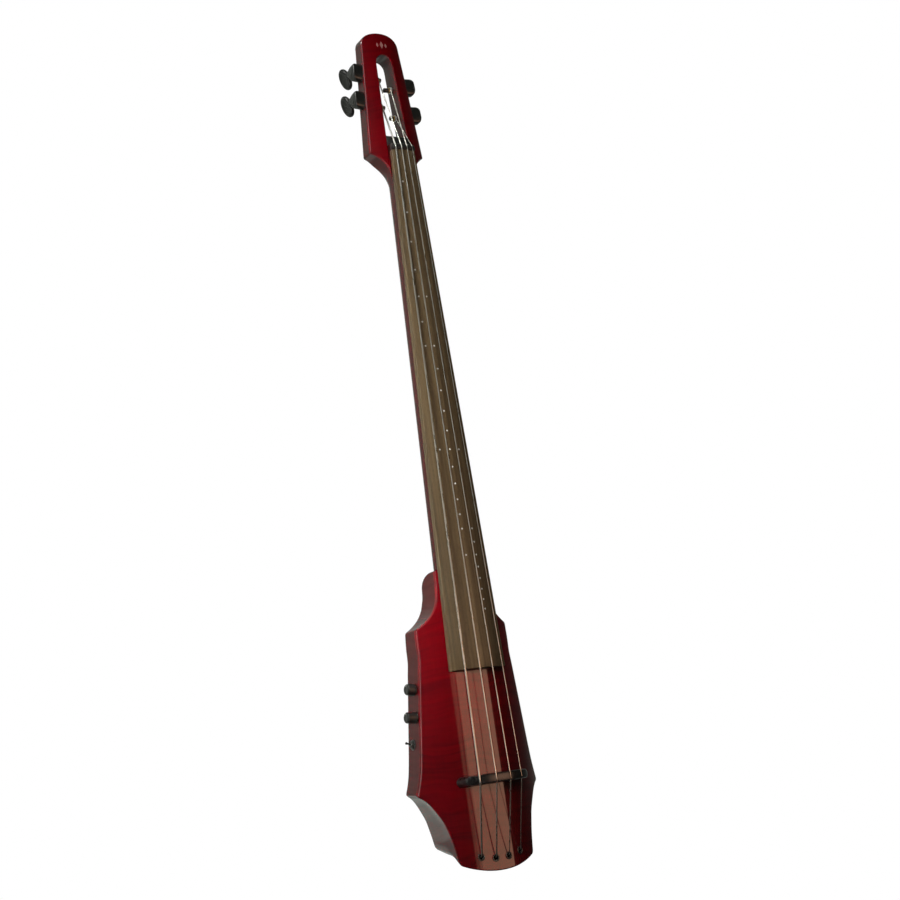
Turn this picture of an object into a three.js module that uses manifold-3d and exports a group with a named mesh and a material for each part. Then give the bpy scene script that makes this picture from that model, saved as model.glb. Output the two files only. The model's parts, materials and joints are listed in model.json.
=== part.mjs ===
// Four-string electric upright bass, millimetres.
// Frame: +Z runs up the strings towards the head, +Y points out of the back, -Y is the
// playing side, +X is the thin-string side. The origin is the centre of the outer face of
// the stand mount on the back of the body.
// The geometry is laid out in instrument coordinates (u, s, h):
//   u  sideways from the centre line, + towards the thin strings
//   s  distance from the nut towards the tail (the bridge is at SCALE)
//   h  height above the crown of the fingerboard, + towards the player
import * as THREE from "three";
import { mergeVertices } from "three/addons/utils/BufferGeometryUtils.js";
import Module from "manifold-3d";

const wasm = await Module();
wasm.setup();

// ---------------------------------------------------------------- driving dimensions
const GAP = 0.3; // clearance between pieces that touch
const SCALE = 1060; // nut to bridge
const HEAD_TOP = -230.3; // s of the top of the head
const TAIL_END = 1201.5; // s of the lowest point of the body
const BOARD_END = 888; // s of the end of the fingerboard
const BOARD_NUT_W = 22; // half width of the fingerboard at the nut
const BOARD_END_W = 50.3; // half width of the fingerboard at its end
const BOARD_ARCH = 188; // top of the board: h = -u^2 / BOARD_ARCH
const TOP_ARCH = 300; // top of the body: h = crown - u^2 / TOP_ARCH
const CAP = 6; // thickness of the body's top plate
const HEAD_ARCH = 188; // face of the head: h = headCrown(s) - u^2 / HEAD_ARCH
const HEAD_VENEER = 3;
const HEAD_BACK = -53;
const BACK_SLOPE = 0.083; // the body deepens towards the tail
const HEEL_END = 723.3; // s where the heel meets the neck
const MOUNT_S = 1085; // centre of the stand mount
const MOUNT_H = -116; // its outer face
const POST_H = -39.5; // height of the string posts
const POSTS = { e: -98, a: -150, d: -132.5, g: -79.5 }; // s of each string post
const POST_END = { e: 2, a: 2, d: 1, g: 5 }; // how far from the centre line each post ends
const GEAR_TEETH = 18;
const GEAR_PITCH_R = 6;
const WORM_OFFSET = 8.9; // post axis to worm axis
const HEAD_TILT = Math.atan(0.0745); // side walls of the head
const WALL_SLOPE = 0.1023; // side walls of the body where the controls are
const WALL_TILT = Math.atan(WALL_SLOPE);
const KNOB_S = { volume_knob: 906, tone_knob: 950 };
const KNOB_L = { volume_knob: 15.2, tone_knob: 17.9 };
const SWITCH_S = 991;
const JACK_S = 968;
const JACK_SINK = 1.6; // depth of the flat round seat of the output jack
const STRINGS = {
  // half gauge, u at the nut, u and h at the bridge, u and s of the tail anchor
  e: { r: 1.45, nut: -16.3, bu: -38.6, bh: 2.4, au: -36, as: 1176 },
  a: { r: 1.1, nut: -5.4, bu: -12.9, bh: 10.4, au: -12, as: 1180.5 },
  d: { r: 0.85, nut: 5.4, bu: 12.9, bh: 10.4, au: 12, as: 1180.5 },
  g: { r: 0.65, nut: 16.3, bu: 38.6, bh: 2.4, au: 36, as: 1176 },
};

const Y0 = MOUNT_H, // Y = Y0 - h
  Z0 = MOUNT_S; // Z = Z0 - s
const crown = (s) => -23.4 - 0.0117 * (s - 814);
const backH = (s) => -85 - BACK_SLOPE * (s - 812);
const boardW = (s) => BOARD_NUT_W + ((BOARD_END_W - BOARD_NUT_W) * s) / BOARD_END;
const boardBottom = (s) => -11.5 - 0.0139 * s;
const headCrown = (s) => -12.7 + 0.046 * s;
const neckBack = (s) => -44 - 0.009 * s;
const wallU = (s) => 88 + WALL_SLOPE * (s - 880);
const headW = (s) => 52.5 + 0.0745 * s;

// ---------------------------------------------------------------- helpers
function bare(geometry) {
  const g = geometry.clone();
  for (const name of Object.keys(g.attributes))
    if (name !== "position") g.deleteAttribute(name);
  return mergeVertices(g, 1e-4);
}
function solid(geometry) {
  const g = bare(geometry);
  const m = new wasm.Manifold(
    new wasm.Mesh({
      numProp: 3,
      vertProperties: new Float32Array(g.attributes.position.array),
      triVerts: new Uint32Array(g.index.array),
    }),
  );
  return m;
}
function surface(manifold) {
  const mesh = manifold.getMesh();
  const p = new Float32Array((mesh.vertProperties.length / mesh.numProp) * 3);
  for (let i = 0, n = p.length / 3; i < n; i++)
    for (let k = 0; k < 3; k++) p[3 * i + k] = mesh.vertProperties[i * mesh.numProp + k];
  const g = new THREE.BufferGeometry();
  g.setAttribute("position", new THREE.BufferAttribute(p, 3));
  g.setIndex(new THREE.BufferAttribute(new Uint32Array(mesh.triVerts), 1));
  g.computeVertexNormals();
  return g;
}
function flip(geometry) {
  const g = bare(geometry),
    a = g.index.array;
  for (let i = 0; i < a.length; i += 3) [a[i + 1], a[i + 2]] = [a[i + 2], a[i + 1]];
  return g;
}
const mirror = (geometry) => flip(geometry.clone().scale(-1, 1, 1));
const polygon = (points) => new THREE.Shape(points.map(([x, y]) => new THREE.Vector2(x, y)));
const extrude = (points, depth, steps = 1) =>
  new THREE.ExtrudeGeometry(polygon(points), { depth, steps, bevelEnabled: false });
// an outline in (u, s), standing from h0 up to h1
function planPrism(points, h0, h1, steps = 1) {
  const g = extrude(points.map(([u, s]) => [u, Z0 - s]), h1 - h0, steps);
  return g.rotateX(Math.PI / 2).translate(0, Y0 - h0, 0);
}
// a section in (u, h), running from s0 to s1
function sectionPrism(points, s0, s1, steps = 1) {
  const g = extrude(points.map(([u, h]) => [u, Y0 - h]), s1 - s0, steps);
  return g.translate(0, 0, Z0 - s1);
}
// a side profile in (s, h), from u0 to u1
function profilePrism(points, u0, u1) {
  const g = extrude(points.map(([s, h]) => [Y0 - h, Z0 - s]), u1 - u0);
  const turn = new THREE.Matrix4().makeBasis(
    new THREE.Vector3(0, 1, 0),
    new THREE.Vector3(0, 0, 1),
    new THREE.Vector3(1, 0, 0),
  );
  return g.applyMatrix4(turn).translate(u0, 0, 0);
}
function boxUSH(u0, u1, s0, s1, h0, h1) {
  return new THREE.BoxGeometry(u1 - u0, h1 - h0, s1 - s0).translate(
    (u0 + u1) / 2,
    Y0 - (h0 + h1) / 2,
    Z0 - (s0 + s1) / 2,
  );
}
// moves every vertex by a function of (u, s, h)
function warp(geometry, f) {
  const p = geometry.attributes.position;
  for (let i = 0; i < p.count; i++) {
    const [u, s, h] = f(p.getX(i), Z0 - p.getZ(i), Y0 - p.getY(i));
    p.setXYZ(i, u, Y0 - h, Z0 - s);
  }
  return geometry;
}
const smooth = (x) => {
  const t = Math.min(1, Math.max(0, x));
  return t * t * (3 - 2 * t);
};
function lerpTable(table, x) {
  if (x <= table[0][0]) return table[0][1];
  for (let i = 1; i < table.length; i++)
    if (x <= table[i][0]) {
      const [x0, y0] = table[i - 1],
        [x1, y1] = table[i];
      return y0 + ((y1 - y0) * (x - x0)) / (x1 - x0);
    }
  return table[table.length - 1][1];
}
function spline(points, n) {
  const c = new THREE.CatmullRomCurve3(
    points.map(([x, y]) => new THREE.Vector3(x, y, 0)),
    false,
    "centripetal",
  );
  return c.getSpacedPoints(n).map((p) => [p.x, p.y]);
}
// a closed outline from its right half, listed from the top to the bottom
function bothSides(right) {
  const left = right
    .slice()
    .reverse()
    .filter(([u]) => Math.abs(u) > 1e-6)
    .map(([u, s]) => [-u, s]);
  return right.concat(left);
}
// a cylinder whose axis is +x, +y or +z, between two stations
function rod(axis, r, a, b, segments = 16) {
  const g = new THREE.CylinderGeometry(r, r, b - a, segments).translate(0, (a + b) / 2, 0);
  if (axis === "x") g.rotateZ(-Math.PI / 2);
  if (axis === "z") g.rotateX(Math.PI / 2);
  return g;
}
// a turned piece on +x from a profile of [x, radius]
function turned(profile, segments = 16) {
  const g = new THREE.LatheGeometry(
    profile.map(([x, r]) => new THREE.Vector2(r, x)),
    segments,
  );
  g.rotateZ(-Math.PI / 2);
  return solid(g).volume() < 0 ? flip(g) : g;
}
const at = (g, x, y, z) => g.clone().translate(x, y, z);
const union = (...gs) => gs.map((g) => (g.isBufferGeometry ? solid(g) : g)).reduce((a, b) => a.add(b));
const cut = (a, ...gs) =>
  gs.map((g) => (g.isBufferGeometry ? solid(g) : g)).reduce((m, b) => m.subtract(b), a.isBufferGeometry ? solid(a) : a);
const meet = (a, ...gs) =>
  gs.map((g) => (g.isBufferGeometry ? solid(g) : g)).reduce((m, b) => m.intersect(b), a.isBufferGeometry ? solid(a) : a);
// a hexagon across flats f, on +x from a to b
const hex = (f, a, b) => rod("x", f / Math.sqrt(3), a, b, 6);

const bass = new THREE.Group();
const looks = {
  stained_maple: { color: 0x6e0d12, roughness: 0.12, metalness: 0 },
  neck_maple: { color: 0x5a1a16, roughness: 0.2, metalness: 0 },
  board: { color: 0x54462f, roughness: 0.45, metalness: 0 },
  black_plastic: { color: 0x141412, roughness: 0.35, metalness: 0 },
  black_metal: { color: 0x2b2b28, roughness: 0.3, metalness: 0.9 },
  steel: { color: 0xb5b5b0, roughness: 0.3, metalness: 1 },
  brass: { color: 0xb08a3c, roughness: 0.3, metalness: 1 },
  string: { color: 0xb9ac98, roughness: 0.35, metalness: 1 },
  board_green: { color: 0x1f4d2b, roughness: 0.5, metalness: 0 },
  rubber: { color: 0x101010, roughness: 0.7, metalness: 0 },
};
const made = {};
for (const [name, look] of Object.entries(looks)) {
  made[name] = new THREE.MeshStandardMaterial(look);
  made[name].name = name;
}
function add(name, shape, material, parent = bass) {
  const g = shape.isBufferGeometry ? surface(solid(shape)) : surface(shape);
  const mesh = new THREE.Mesh(g, made[material]);
  mesh.name = name;
  parent.add(mesh);
  return mesh;
}

// ---------------------------------------------------------------- body
// Right half of the body's outline: heel, shoulder hollow, side, waist hollow, tail.
const heelW = 45.6;
const bodyRight = [
  [0, HEEL_END],
  [heelW - 3, HEEL_END],
  [heelW, HEEL_END + 3],
  ...spline([[heelW + 0.3, 745], [47.6, 764], [49.5, 774], [53, 783.5], [60, 794.5], [69.5, 803.8], [78, 810], [83.4, 813]], 9),
  [84.6, 814.6],
  [85.2, 818],
  [86.2, 840],
  [wallU(880) - 1.0, 862],
  [wallU(880), 880],
  [wallU(1012), 1012],
  ...spline([[wallU(1012) + 1.2, 1022], [105.0, 1038], [108.9, 1056], [112.3, 1069]], 4),
  [112.9, 1070.7],
  [112.5, 1072.2],
  ...spline([[111, 1073.4], [105, 1078.4], [98.3, 1086.6], [90.8, 1099.6], [82.2, 1117.5], [77.2, 1135], [73.6, 1150.5], [70.7, 1168], [69, 1181]], 10),
  [68.3, 1184.6],
  ...spline([[66.6, 1186.3], [56, 1191.3], [41, 1196.2], [25, 1199.6], [8, 1201.3], [0, TAIL_END]], 8),
];
const outline = bothSides(bodyRight);
// The tail rakes back under its front edge. RAKE_S: how far s shrinks at the back plane,
// by s at the front. RAKE_T: the share of it, by depth from the front edge to the back.
const RAKE_S = [[1040, 0], [1071, 5.3], [1095, 6.5], [1120, 8.2], [1145, 11.5], [1162, 16], [1175, 23], [1184, 30], [1203, 32]];
const RAKE_T = [[0, 0], [0.11, 0.2], [0.2, 0.39], [0.36, 0.59], [0.55, 0.7], [1, 1], [1.2, 1.1]];
const DEPTHS = [1.25, 1, 0.55, 0.36, 0.2, 0, -1];
function bodyBlank() {
  const n = DEPTHS.length - 1;
  const g = planPrism(outline, 0, n, n);
  return solid(
    warp(g, (u, s, h) => {
      const d = DEPTHS[Math.round(h)];
      const front = crown(s) - (u * u) / TOP_ARCH;
      const height = d < 0 ? -8 : d > 1 ? -132 : front + (backH(s) - front) * d;
      return [u, s - lerpTable(RAKE_S, s) * lerpTable(RAKE_T, d), height];
    }),
  );
}
// everything under the arched top, lowered by d
function underTop(d) {
  const pts = [];
  for (let i = -10; i <= 10; i++) pts.push([i * 12, -((i * 12) ** 2) / TOP_ARCH]);
  pts.push([120, -150], [-120, -150]);
  return solid(warp(sectionPrism(pts, 640, 1260), (u, s, h) => [u, s, h + crown(s) - d]));
}
// in front of the flat back, with the rounded end of the heel
const inFront = solid(
  profilePrism(
    [
      [700, 30],
      [HEEL_END - 0.01, 30],
      [HEEL_END - 0.01, -49],
      [724.3, -56],
      [726.6, -63],
      [730.4, -69.6],
      [736.4, -75],
      [745, -78.6],
      [754, backH(754)],
      [1240, backH(1240)],
      [1240, 30],
    ].slice(1),
    -140,
    140,
  ),
);
const blank = bodyBlank().intersect(inFront);
const TENON_W = 30,
  TENON_END = 868,
  TENON_H = -56;
const tenonPocket = boxUSH(-TENON_W - GAP, TENON_W + GAP, 700, TENON_END + GAP, TENON_H - GAP, 20);

// control cavity, open at the back
const CAVITY = { s0: 887, s1: 1008, floor: -60, wall: 8 };
const cavityPlan = (inset, s0, s1) => {
  const w = (s) => wallU(s) - inset,
    r = 6;
  return bothSides([
    [0, s0],
    [w(s0) - r, s0],
    [w(s0) - r * 0.3, s0 + r * 0.3],
    [w(s0 + r), s0 + r],
    [w(s1 - r), s1 - r],
    [w(s1) - r * 0.3, s1 - r * 0.3],
    [w(s1) - r, s1],
    [0, s1],
  ]);
};
const COVER_T = 2.2,
  LEDGE = 7;
const onBack = (d) => solid(
  profilePrism(
    [
      [860, backH(860) + d],
      [1060, backH(1060) + d],
      [1060, -160],
      [860, -160],
    ],
    -140,
    140,
  ),
);
const cavity = solid(planPrism(cavityPlan(CAVITY.wall, CAVITY.s0, CAVITY.s1), -160, CAVITY.floor));
const coverRecess = solid(planPrism(cavityPlan(3, CAVITY.s0 - LEDGE, CAVITY.s1 + LEDGE), -160, -60)).intersect(onBack(COVER_T + GAP));
// placed pieces: local x out of the wall, y to the back, z up the wall
function wallFrame(u, s, h, tilt) {
  return new THREE.Matrix4()
    .makeBasis(
      new THREE.Vector3(Math.cos(tilt), 0, Math.sin(tilt)),
      new THREE.Vector3(0, 1, 0),
      new THREE.Vector3(-Math.sin(tilt), 0, Math.cos(tilt)),
    )
    .setPosition(u, Y0 - h, Z0 - s);
}
const CONTROL_H = -70;
const SWITCH_H = -83;
const LEVER_PIVOT = 0.2; // out of the wall
const LEVER_THROW = (13 * Math.PI) / 180; // each way from the middle
const knobFrame = (s) => wallFrame(wallU(s), s, CONTROL_H, WALL_TILT);
const placed = (g, m) => (g.isBufferGeometry ? bare(g) : surface(g)).clone().applyMatrix4(m);
const placedLeft = (g, m) => mirror(placed(g, m));

// the jack points straight out to the side
const jackFrame = wallFrame(wallU(JACK_S) - JACK_SINK, JACK_S, CONTROL_H - 3, 0);
const switchFrame = wallFrame(wallU(SWITCH_S), SWITCH_S, SWITCH_H, WALL_TILT);
const potHole = (s, r) => placedLeft(rod("x", r, -20, 20, 16), knobFrame(s));
const COVER_SCREWS = { cover_screw_1: [-74, 883.6], cover_screw_2: [74, 883.6], cover_screw_3: [-87, 1011.4], cover_screw_4: [87, 1011.4] };
const backTilt = Math.atan(BACK_SLOPE);
// local y out of the back
function backFrame(u, s) {
  return new THREE.Matrix4().makeRotationX(backTilt).setPosition(u, Y0 - backH(s), Z0 - s);
}
const pilot = (r, depth) => rod("y", r, -depth, 12, 12);
const wireBoreA = boxUSH(-2.2, 2.2, 1057.8, 1062.2, -72, -10);
const wireBoreB = boxUSH(-2.2, 2.2, 1000, 1062.2, -72, -67.6);
const MOUNT_HALF_U = 32,
  MOUNT_HALF_S = 42;
const STAND_SCREWS = { stand_screw_1: [0, MOUNT_S - 34], stand_screw_2: [0, MOUNT_S + 34] };
const FERRULE_R = 5,
  FERRULE_L = 15;
const ferruleHole = (k) => {
  const { au, as } = STRINGS[k];
  return at(rod("y", FERRULE_R + GAP, -60, FERRULE_L + GAP), au, Y0 - (crown(as) - (au * au) / TOP_ARCH) , Z0 - as);
};
const ferruleHoles = Object.keys(STRINGS).map(ferruleHole);

let core = cut(
  blank.intersect(underTop(CAP + GAP)),
  tenonPocket,
  cavity,
  coverRecess,
  potHole(KNOB_S.volume_knob, 4),
  potHole(KNOB_S.tone_knob, 4),
  placedLeft(rod("x", 3.6, -20, 20, 16), switchFrame),
  placed(union(rod("x", 5.2, -20, 20, 16), rod("x", 10.5, 0, 20, 28)), jackFrame),
  wireBoreA,
  wireBoreB,
  ...ferruleHoles,
  ...Object.values(COVER_SCREWS).map(([u, s]) => placed(pilot(1.6, 15), backFrame(u, s))),
  ...Object.values(STAND_SCREWS).map(([u, s]) => at(rod("y", 2.6, -40, 5, 12), u, 0, Z0 - s)),
);
add("body_core", core, "stained_maple");
add("body_top", cut(blank.subtract(underTop(CAP)).intersect(underTop(0)), tenonPocket, wireBoreA, ...ferruleHoles), "stained_maple");

// ---------------------------------------------------------------- neck, heel tongue and head
const headRight = [
  [0, HEAD_TOP],
  ...spline([[9, -229.9], [19, -228], [27.5, -224.3], [33.6, -218.6], [36.6, -211.5], [headW(-203), -203]], 7),
  [headW(0), 0],
];
// below its lower corners the head narrows to the neck: half width by s
const HOLLOW = [[0, 52.4], [0.8, 50.8], [3.3, 46], [7, 41.5], [11, 37.7], [15, 34.3], [20, 30.8], [26, 27.6], [32, 25.4], [40, 24], [50, 23.4], [60, 23.4]];
const slotRight = [
  [0, -188.5],
  [6.2, -187.2],
  [11.2, -183.4],
  [14.4, -178.2],
  [15.6, -171.5],
  [16.1, -157],
  [18.3, -100],
  [21.2, -31],
];
const slot = planPrism(bothSides(slotRight), -80, 10);
function underHead(d) {
  const pts = [];
  for (let i = -7; i <= 7; i++) pts.push([i * 8, -((i * 8) ** 2) / HEAD_ARCH - d]);
  pts.push([56, -70], [-56, -70]);
  return solid(warp(sectionPrism(pts, -240, 60), (u, s, h) => [u, s, h + headCrown(s)]));
}

// U-shaped neck section: x across (-1..1), t down (0..1)
const uSection = (() => {
  const pts = [[1, 0], [1, 0.26]];
  for (let i = 1; i <= 11; i++) {
    const a = (Math.PI * i) / 12;
    const c = Math.cos(a);
    pts.push([Math.sign(c) * Math.abs(c) ** 0.86, 0.26 + 0.74 * Math.sin(a) ** 0.92]);
  }
  pts.push([-1, 0.26], [-1, 0]);
  return pts;
})();
function neckShaft(s0, s1, steps) {
  const g = sectionPrism(uSection.map(([x, t]) => [x, -t]), s0, s1, steps);
  return solid(
    warp(g, (x, s, h) => {
      const top = boardBottom(Math.max(s, 0)) - GAP,
        w = (s < 0 ? BOARD_NUT_W : boardW(s)) - 0.5;
      return [x * w, s, top + -h * (neckBack(s) - top)];
    }),
  );
}
// from the square section of the head to the neck's section
const headBlank = (() => {
  const stations = HOLLOW.map(([s]) => s),
    n = stations.length - 1;
  const g = sectionPrism(uSection.map(([x, t]) => [x, -t]), 0, n, n);
  const square = (x, t) => {
    const m = Math.max(Math.abs(x), t);
    if (t <= 0.26) return [x, t];
    return [Math.max(-1, Math.min(1, (x / m) * 1)), Math.min(1, t / m)];
  };
  const taper = solid(
    warp(g, (x, s0, h) => {
      const s = stations[Math.round(s0)],
        w = lerpTable(HOLLOW, s),
        q = smooth((s - 8) / 52),
        [sx, st] = square(x, -h),
        mx = sx + (x - sx) * q,
        mt = st + (-h - st) * q,
        back = HEAD_BACK + (neckBack(s) - HEAD_BACK) * smooth((s - 6) / 54);
      return [mx * w, s, -8 + mt * (back + 8)];
    }),
  );
  return union(planPrism(bothSides(headRight.concat([[0, 0]])), HEAD_BACK, -5), taper);
})();
// the tongue follows the fingerboard over the arched top
const tongue = (() => {
  const g = sectionPrism([[1, 0], [-1, 0], [-1, -60], [1, -60]], HEEL_END - GAP - 0.01, 884, 1);
  const t = solid(
    warp(g, (x, s, h) => [x * (boardW(s) - 6), s, h === 0 ? boardBottom(s) - GAP : h]),
  );
  return t.subtract(underTop(-GAP));
})();
const tenon = boxUSH(-TENON_W, TENON_W, 716, TENON_END, TENON_H, -27);
const ROD_H = -33;
const rodChannel = boxUSH(-3.3, 3.3, 8, 690, ROD_H - 4.6, 0);
const rodBore = boxUSH(-3.3, 3.3, -40, 9, ROD_H - 4.6, ROD_H + 4.6);
const shelfSeat = boxUSH(-22.4, 22.4, -34, -12, -24.6, 10);
const postBore = (k) => {
  const s = POSTS[k],
    m = wallFrame(headW(s), s, POST_H, HEAD_TILT),
    g = rod("x", 4.5, -40, 10, 16);
  return k === "e" || k === "a" ? placedLeft(g, m) : placed(g, m);
};
const isLeft = (k) => k === "e" || k === "a";
const sideOnly = (k) => boxUSH(isLeft(k) ? -80 : 8, isLeft(k) ? -8 : 80, -230, 40, -80, 0);
const neck = cut(
  union(
    headBlank.intersect(underHead(HEAD_VENEER + GAP)),
    neckShaft(-12, HEEL_END - GAP, 10),
    tongue,
    tenon,
  ),
  slot,
  shelfSeat,
  rodChannel,
  rodBore,
  ...Object.keys(POSTS).map((k) => solid(postBore(k)).intersect(solid(sideOnly(k)))),
);
add("neck", neck, "neck_maple");
// the face of the head, cut round the slot, the shelf and the neck
const veneerCut = planPrism(
  bothSides([[0, -31.4], [22.4, -31.4], [24, 60], [0, 60]]),
  -60,
  20,
);
add(
  "headstock_face",
  cut(headBlank.intersect(underHead(0)).subtract(underHead(HEAD_VENEER)), slot, veneerCut),
  "stained_maple",
);

// ---------------------------------------------------------------- fingerboard, nut, shelf, truss rod
{
  const pts = [];
  for (let i = 0; i <= 12; i++) pts.push([1 - i / 6, 0]);
  pts.push([-1, -1], [1, -1]);
  const g = sectionPrism(pts, GAP, BOARD_END, 6);
  warp(g, (x, s, h) => {
    const u = x * boardW(s);
    return [u, s, h < -0.5 ? boardBottom(s) : -(u * u) / BOARD_ARCH];
  });
  add("fingerboard", g, "board");
}
const nutH = (u) => 1.9 - (u * u) / 260;
// an open slot under a string's route, given as [s, h] stations
const stringSlot = (u, r, route) => {
  const low = route.map(([s, h]) => [s, h - r - 0.28]);
  const [first, last] = [route[0], route[route.length - 1]];
  return profilePrism([...low, [last[0], last[1] + 22], [first[0], first[1] + 22]], u - r - 0.28, u + r + 0.28);
};
const nutRoute = (t) => [[2, nutH(t.nut) + 0.02], [-4, nutH(t.nut) - 0.1], [-9.5, nutH(t.nut) - 1.4], [-16, nutH(t.nut) - 4.6]];
const anchorTop = (t) => crown(t.as) - (t.au * t.au) / TOP_ARCH;
const tailSlope = (t) => (t.bh - anchorTop(t) - 2.6) / (t.as - 3 - SCALE - 3.5);
const bridgeRoute = (t) => [[SCALE - 12, t.bh], [SCALE + 3.5, t.bh - 0.1], [SCALE + 12, t.bh - 0.1 - 8.5 * tailSlope(t)]];
{
  const pts = [];
  for (let i = 0; i <= 8; i++) {
    const u = 21 - (42 * i) / 8;
    pts.push([u, nutH(u) + 1.0]);
  }
  pts.push([-21, -11.5], [21, -11.5]);
  const block = solid(sectionPrism(pts, -11.7, 0));
  const slope = profilePrism([[-12, 20], [-12, -1.8], [-7, 2.2], [-1, 3.4], [-1, 20]], -30, 30);
  add(
    "nut",
    cut(block, slope, ...Object.values(STRINGS).map((t) => stringSlot(t.nut, t.r, nutRoute(t)))),
    "black_plastic",
  );
}
add(
  "nut_shelf",
  cut(profilePrism([[-31, -24.3], [-31, -16.8], [-29.6, -15.8], [-12.1, -9], [-12.1, -24.3]], -21.9, 21.9), slot),
  "black_plastic",
);
add(
  "truss_rod",
  union(
    boxUSH(-2.9, 2.9, -6, 688, ROD_H - 4.2, ROD_H + 4.2),
    at(rod("z", 2.2, Z0 + 5, Z0 + 12, 12), 0, Y0 - ROD_H, 0),
    at(rod("z", 3.2, Z0 + 11, Z0 + 25, 6), 0, Y0 - ROD_H, 0),
  ),
  "steel",
);

// ---------------------------------------------------------------- bridge and its pickup
const BRIDGE_W = 55.5;
{
  const bridgeTop = (u) => 12.4 - (u * u) / 166;
  const pts = [];
  for (let i = 0; i <= 18; i++) {
    const u = BRIDGE_W - (2 * BRIDGE_W * i) / 18;
    pts.push([u, bridgeTop(u)]);
  }
  pts.push([-BRIDGE_W - 1, -12], [-BRIDGE_W - 2.5, -60], [BRIDGE_W + 2.5, -60], [BRIDGE_W + 1, -12]);
  const side = profilePrism([[SCALE - 8.2, -70], [SCALE - 6.2, 6], [SCALE - 5, 20], [SCALE + 5, 20], [SCALE + 6.2, 6], [SCALE + 8.2, -70]], -70, 70);
  const ends = planPrism(
    bothSides([[0, SCALE - 9], [50, SCALE - 9], [54.5, SCALE - 6.6], [57.4, SCALE - 2.6], [58, SCALE], [57.4, SCALE + 2.6], [54.5, SCALE + 6.6], [50, SCALE + 9], [0, SCALE + 9]]),
    -70,
    30,
  );
  const stripBand = (a, b) => {
    const q = [];
    for (let i = 0; i <= 12; i++) {
      const u = 46 - (92 * i) / 12;
      q.push([u, b - (u * u) / TOP_ARCH]);
    }
    for (let i = 12; i >= 0; i--) {
      const u = 46 - (92 * i) / 12;
      q.push([u, a - (u * u) / TOP_ARCH]);
    }
    return q;
  };
  const c = crown(SCALE);
  const channel = sectionPrism(stripBand(c - 8, c + 3.8), SCALE - 2.3, SCALE + 2.3);
  const longer = channel.clone().scale(1.012, 1, 1);
  add(
    "bridge",
    cut(
      meet(sectionPrism(pts, SCALE - 9, SCALE + 9), side, ends),
      underTop(-GAP),
      longer,
      ...Object.values(STRINGS).map((t) => stringSlot(t.bu, t.r, bridgeRoute(t))),
    ),
    "black_plastic",
  );
  add("bridge_pickup", sectionPrism(stripBand(c + 0.4, c + 3.5), SCALE - 2, SCALE + 2), "brass");
}

// ---------------------------------------------------------------- tail anchors and strings
for (const [k, t] of Object.entries(STRINGS)) {
  const top = crown(t.as) - (t.au * t.au) / TOP_ARCH;
  const ring = cut(rod("y", FERRULE_R, -0.6, FERRULE_L, 16), rod("y", 3.4, -5, 12, 10));
  add(`${k}_string_anchor`, placed(ring, new THREE.Matrix4().setPosition(t.au, Y0 - top, Z0 - t.as)), "black_metal");
}
// a string's sweep: stations along its route, each ring square to the bisector of the route
function sweep(points, r, sides = 8) {
  const section = polygon(
    Array.from({ length: sides }, (_, i) => {
      const a = (2 * Math.PI * (i + 0.5)) / sides;
      return [r * Math.cos(a), r * Math.sin(a)];
    }),
  );
  const steps = points.length - 1;
  // one step per route point, so each vertex ring sits on a point of the route
  const even = new (class extends THREE.Curve {
    getPoint(t) {
      const i = Math.min(steps, Math.round(t * steps));
      return points[i].clone();
    }
    getPointAt(t) {
      return this.getPoint(t);
    }
    getTangentAt(t) {
      const i = Math.min(steps, Math.round(t * steps));
      const a = points[Math.max(0, i - 1)],
        b = points[Math.min(steps, i + 1)];
      const p = points[i];
      const d1 = p.clone().sub(a).normalize(),
        d2 = b.clone().sub(p).normalize();
      return d1.add(d2).normalize();
    }
    getTangent(t) {
      return this.getTangentAt(t);
    }
    getSpacedPoints() {
      return points.map((p) => p.clone());
    }
  })();
  return new THREE.ExtrudeGeometry(section, { steps, extrudePath: even, bevelEnabled: false });
}
const vec = (u, s, h) => new THREE.Vector3(u, Y0 - h, Z0 - s);
const POST_R = 4;
const WIND_U = { e: 9, a: 9, d: 12.2, g: 13.6 }; // how far from the centre line each string starts to wind
for (const [k, t] of Object.entries(STRINGS)) {
  const side = isLeft(k) ? -1 : 1;
  const top = crown(t.as) - (t.au * t.au) / TOP_ARCH;
  const pts = [];
  // seated in the anchor, up over its rim, then straight to the bridge and the nut
  pts.push(vec(t.au, t.as, top - 9.5), vec(t.au, t.as, top - 2), vec(t.au, t.as - 0.8, top + 0.9), vec(t.au, t.as - 3, top + 2.6));
  pts.push(vec(t.bu, SCALE + 3.5, t.bh - 0.1), vec(t.bu, SCALE - 3.5, t.bh));
  pts.push(vec(t.nut, 0, nutH(t.nut)), vec(t.nut, -4, nutH(t.nut) - 0.1), vec(t.nut, -9.5, nutH(t.nut) - 1.4));
  // winds on the post: the post's axis leans with the side of the head
  const ps = POSTS[k],
    wallAt = headW(ps),
    R = POST_R + GAP + t.r;
  const axis = new THREE.Vector3(side * Math.cos(HEAD_TILT), 0, Math.sin(HEAD_TILT));
  const wall = vec(side * wallAt, ps, POST_H);
  const centre = wall.clone().addScaledVector(axis, WIND_U[k] - wallAt);
  const e1 = new THREE.Vector3(0, -1, 0); // front
  const e2 = new THREE.Vector3().crossVectors(axis, e1).normalize();
  const up = e2.z > 0 ? 1 : -1;
  const turns = 1.3,
    n = 11;
  const first = -0.35;
  for (let i = 0; i <= n; i++) {
    const a = first + (2 * Math.PI * turns * i) / n;
    const p = centre
      .clone()
      .addScaledVector(axis, (2 * t.r + 0.35) * turns * (i / n) + 0.5)
      .addScaledVector(e1, R * Math.cos(a))
      .addScaledVector(e2, up * R * Math.sin(a));
    pts.push(p);
  }
  add(`${k}_string`, sweep(pts, t.r, 6), "string");
}

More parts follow.
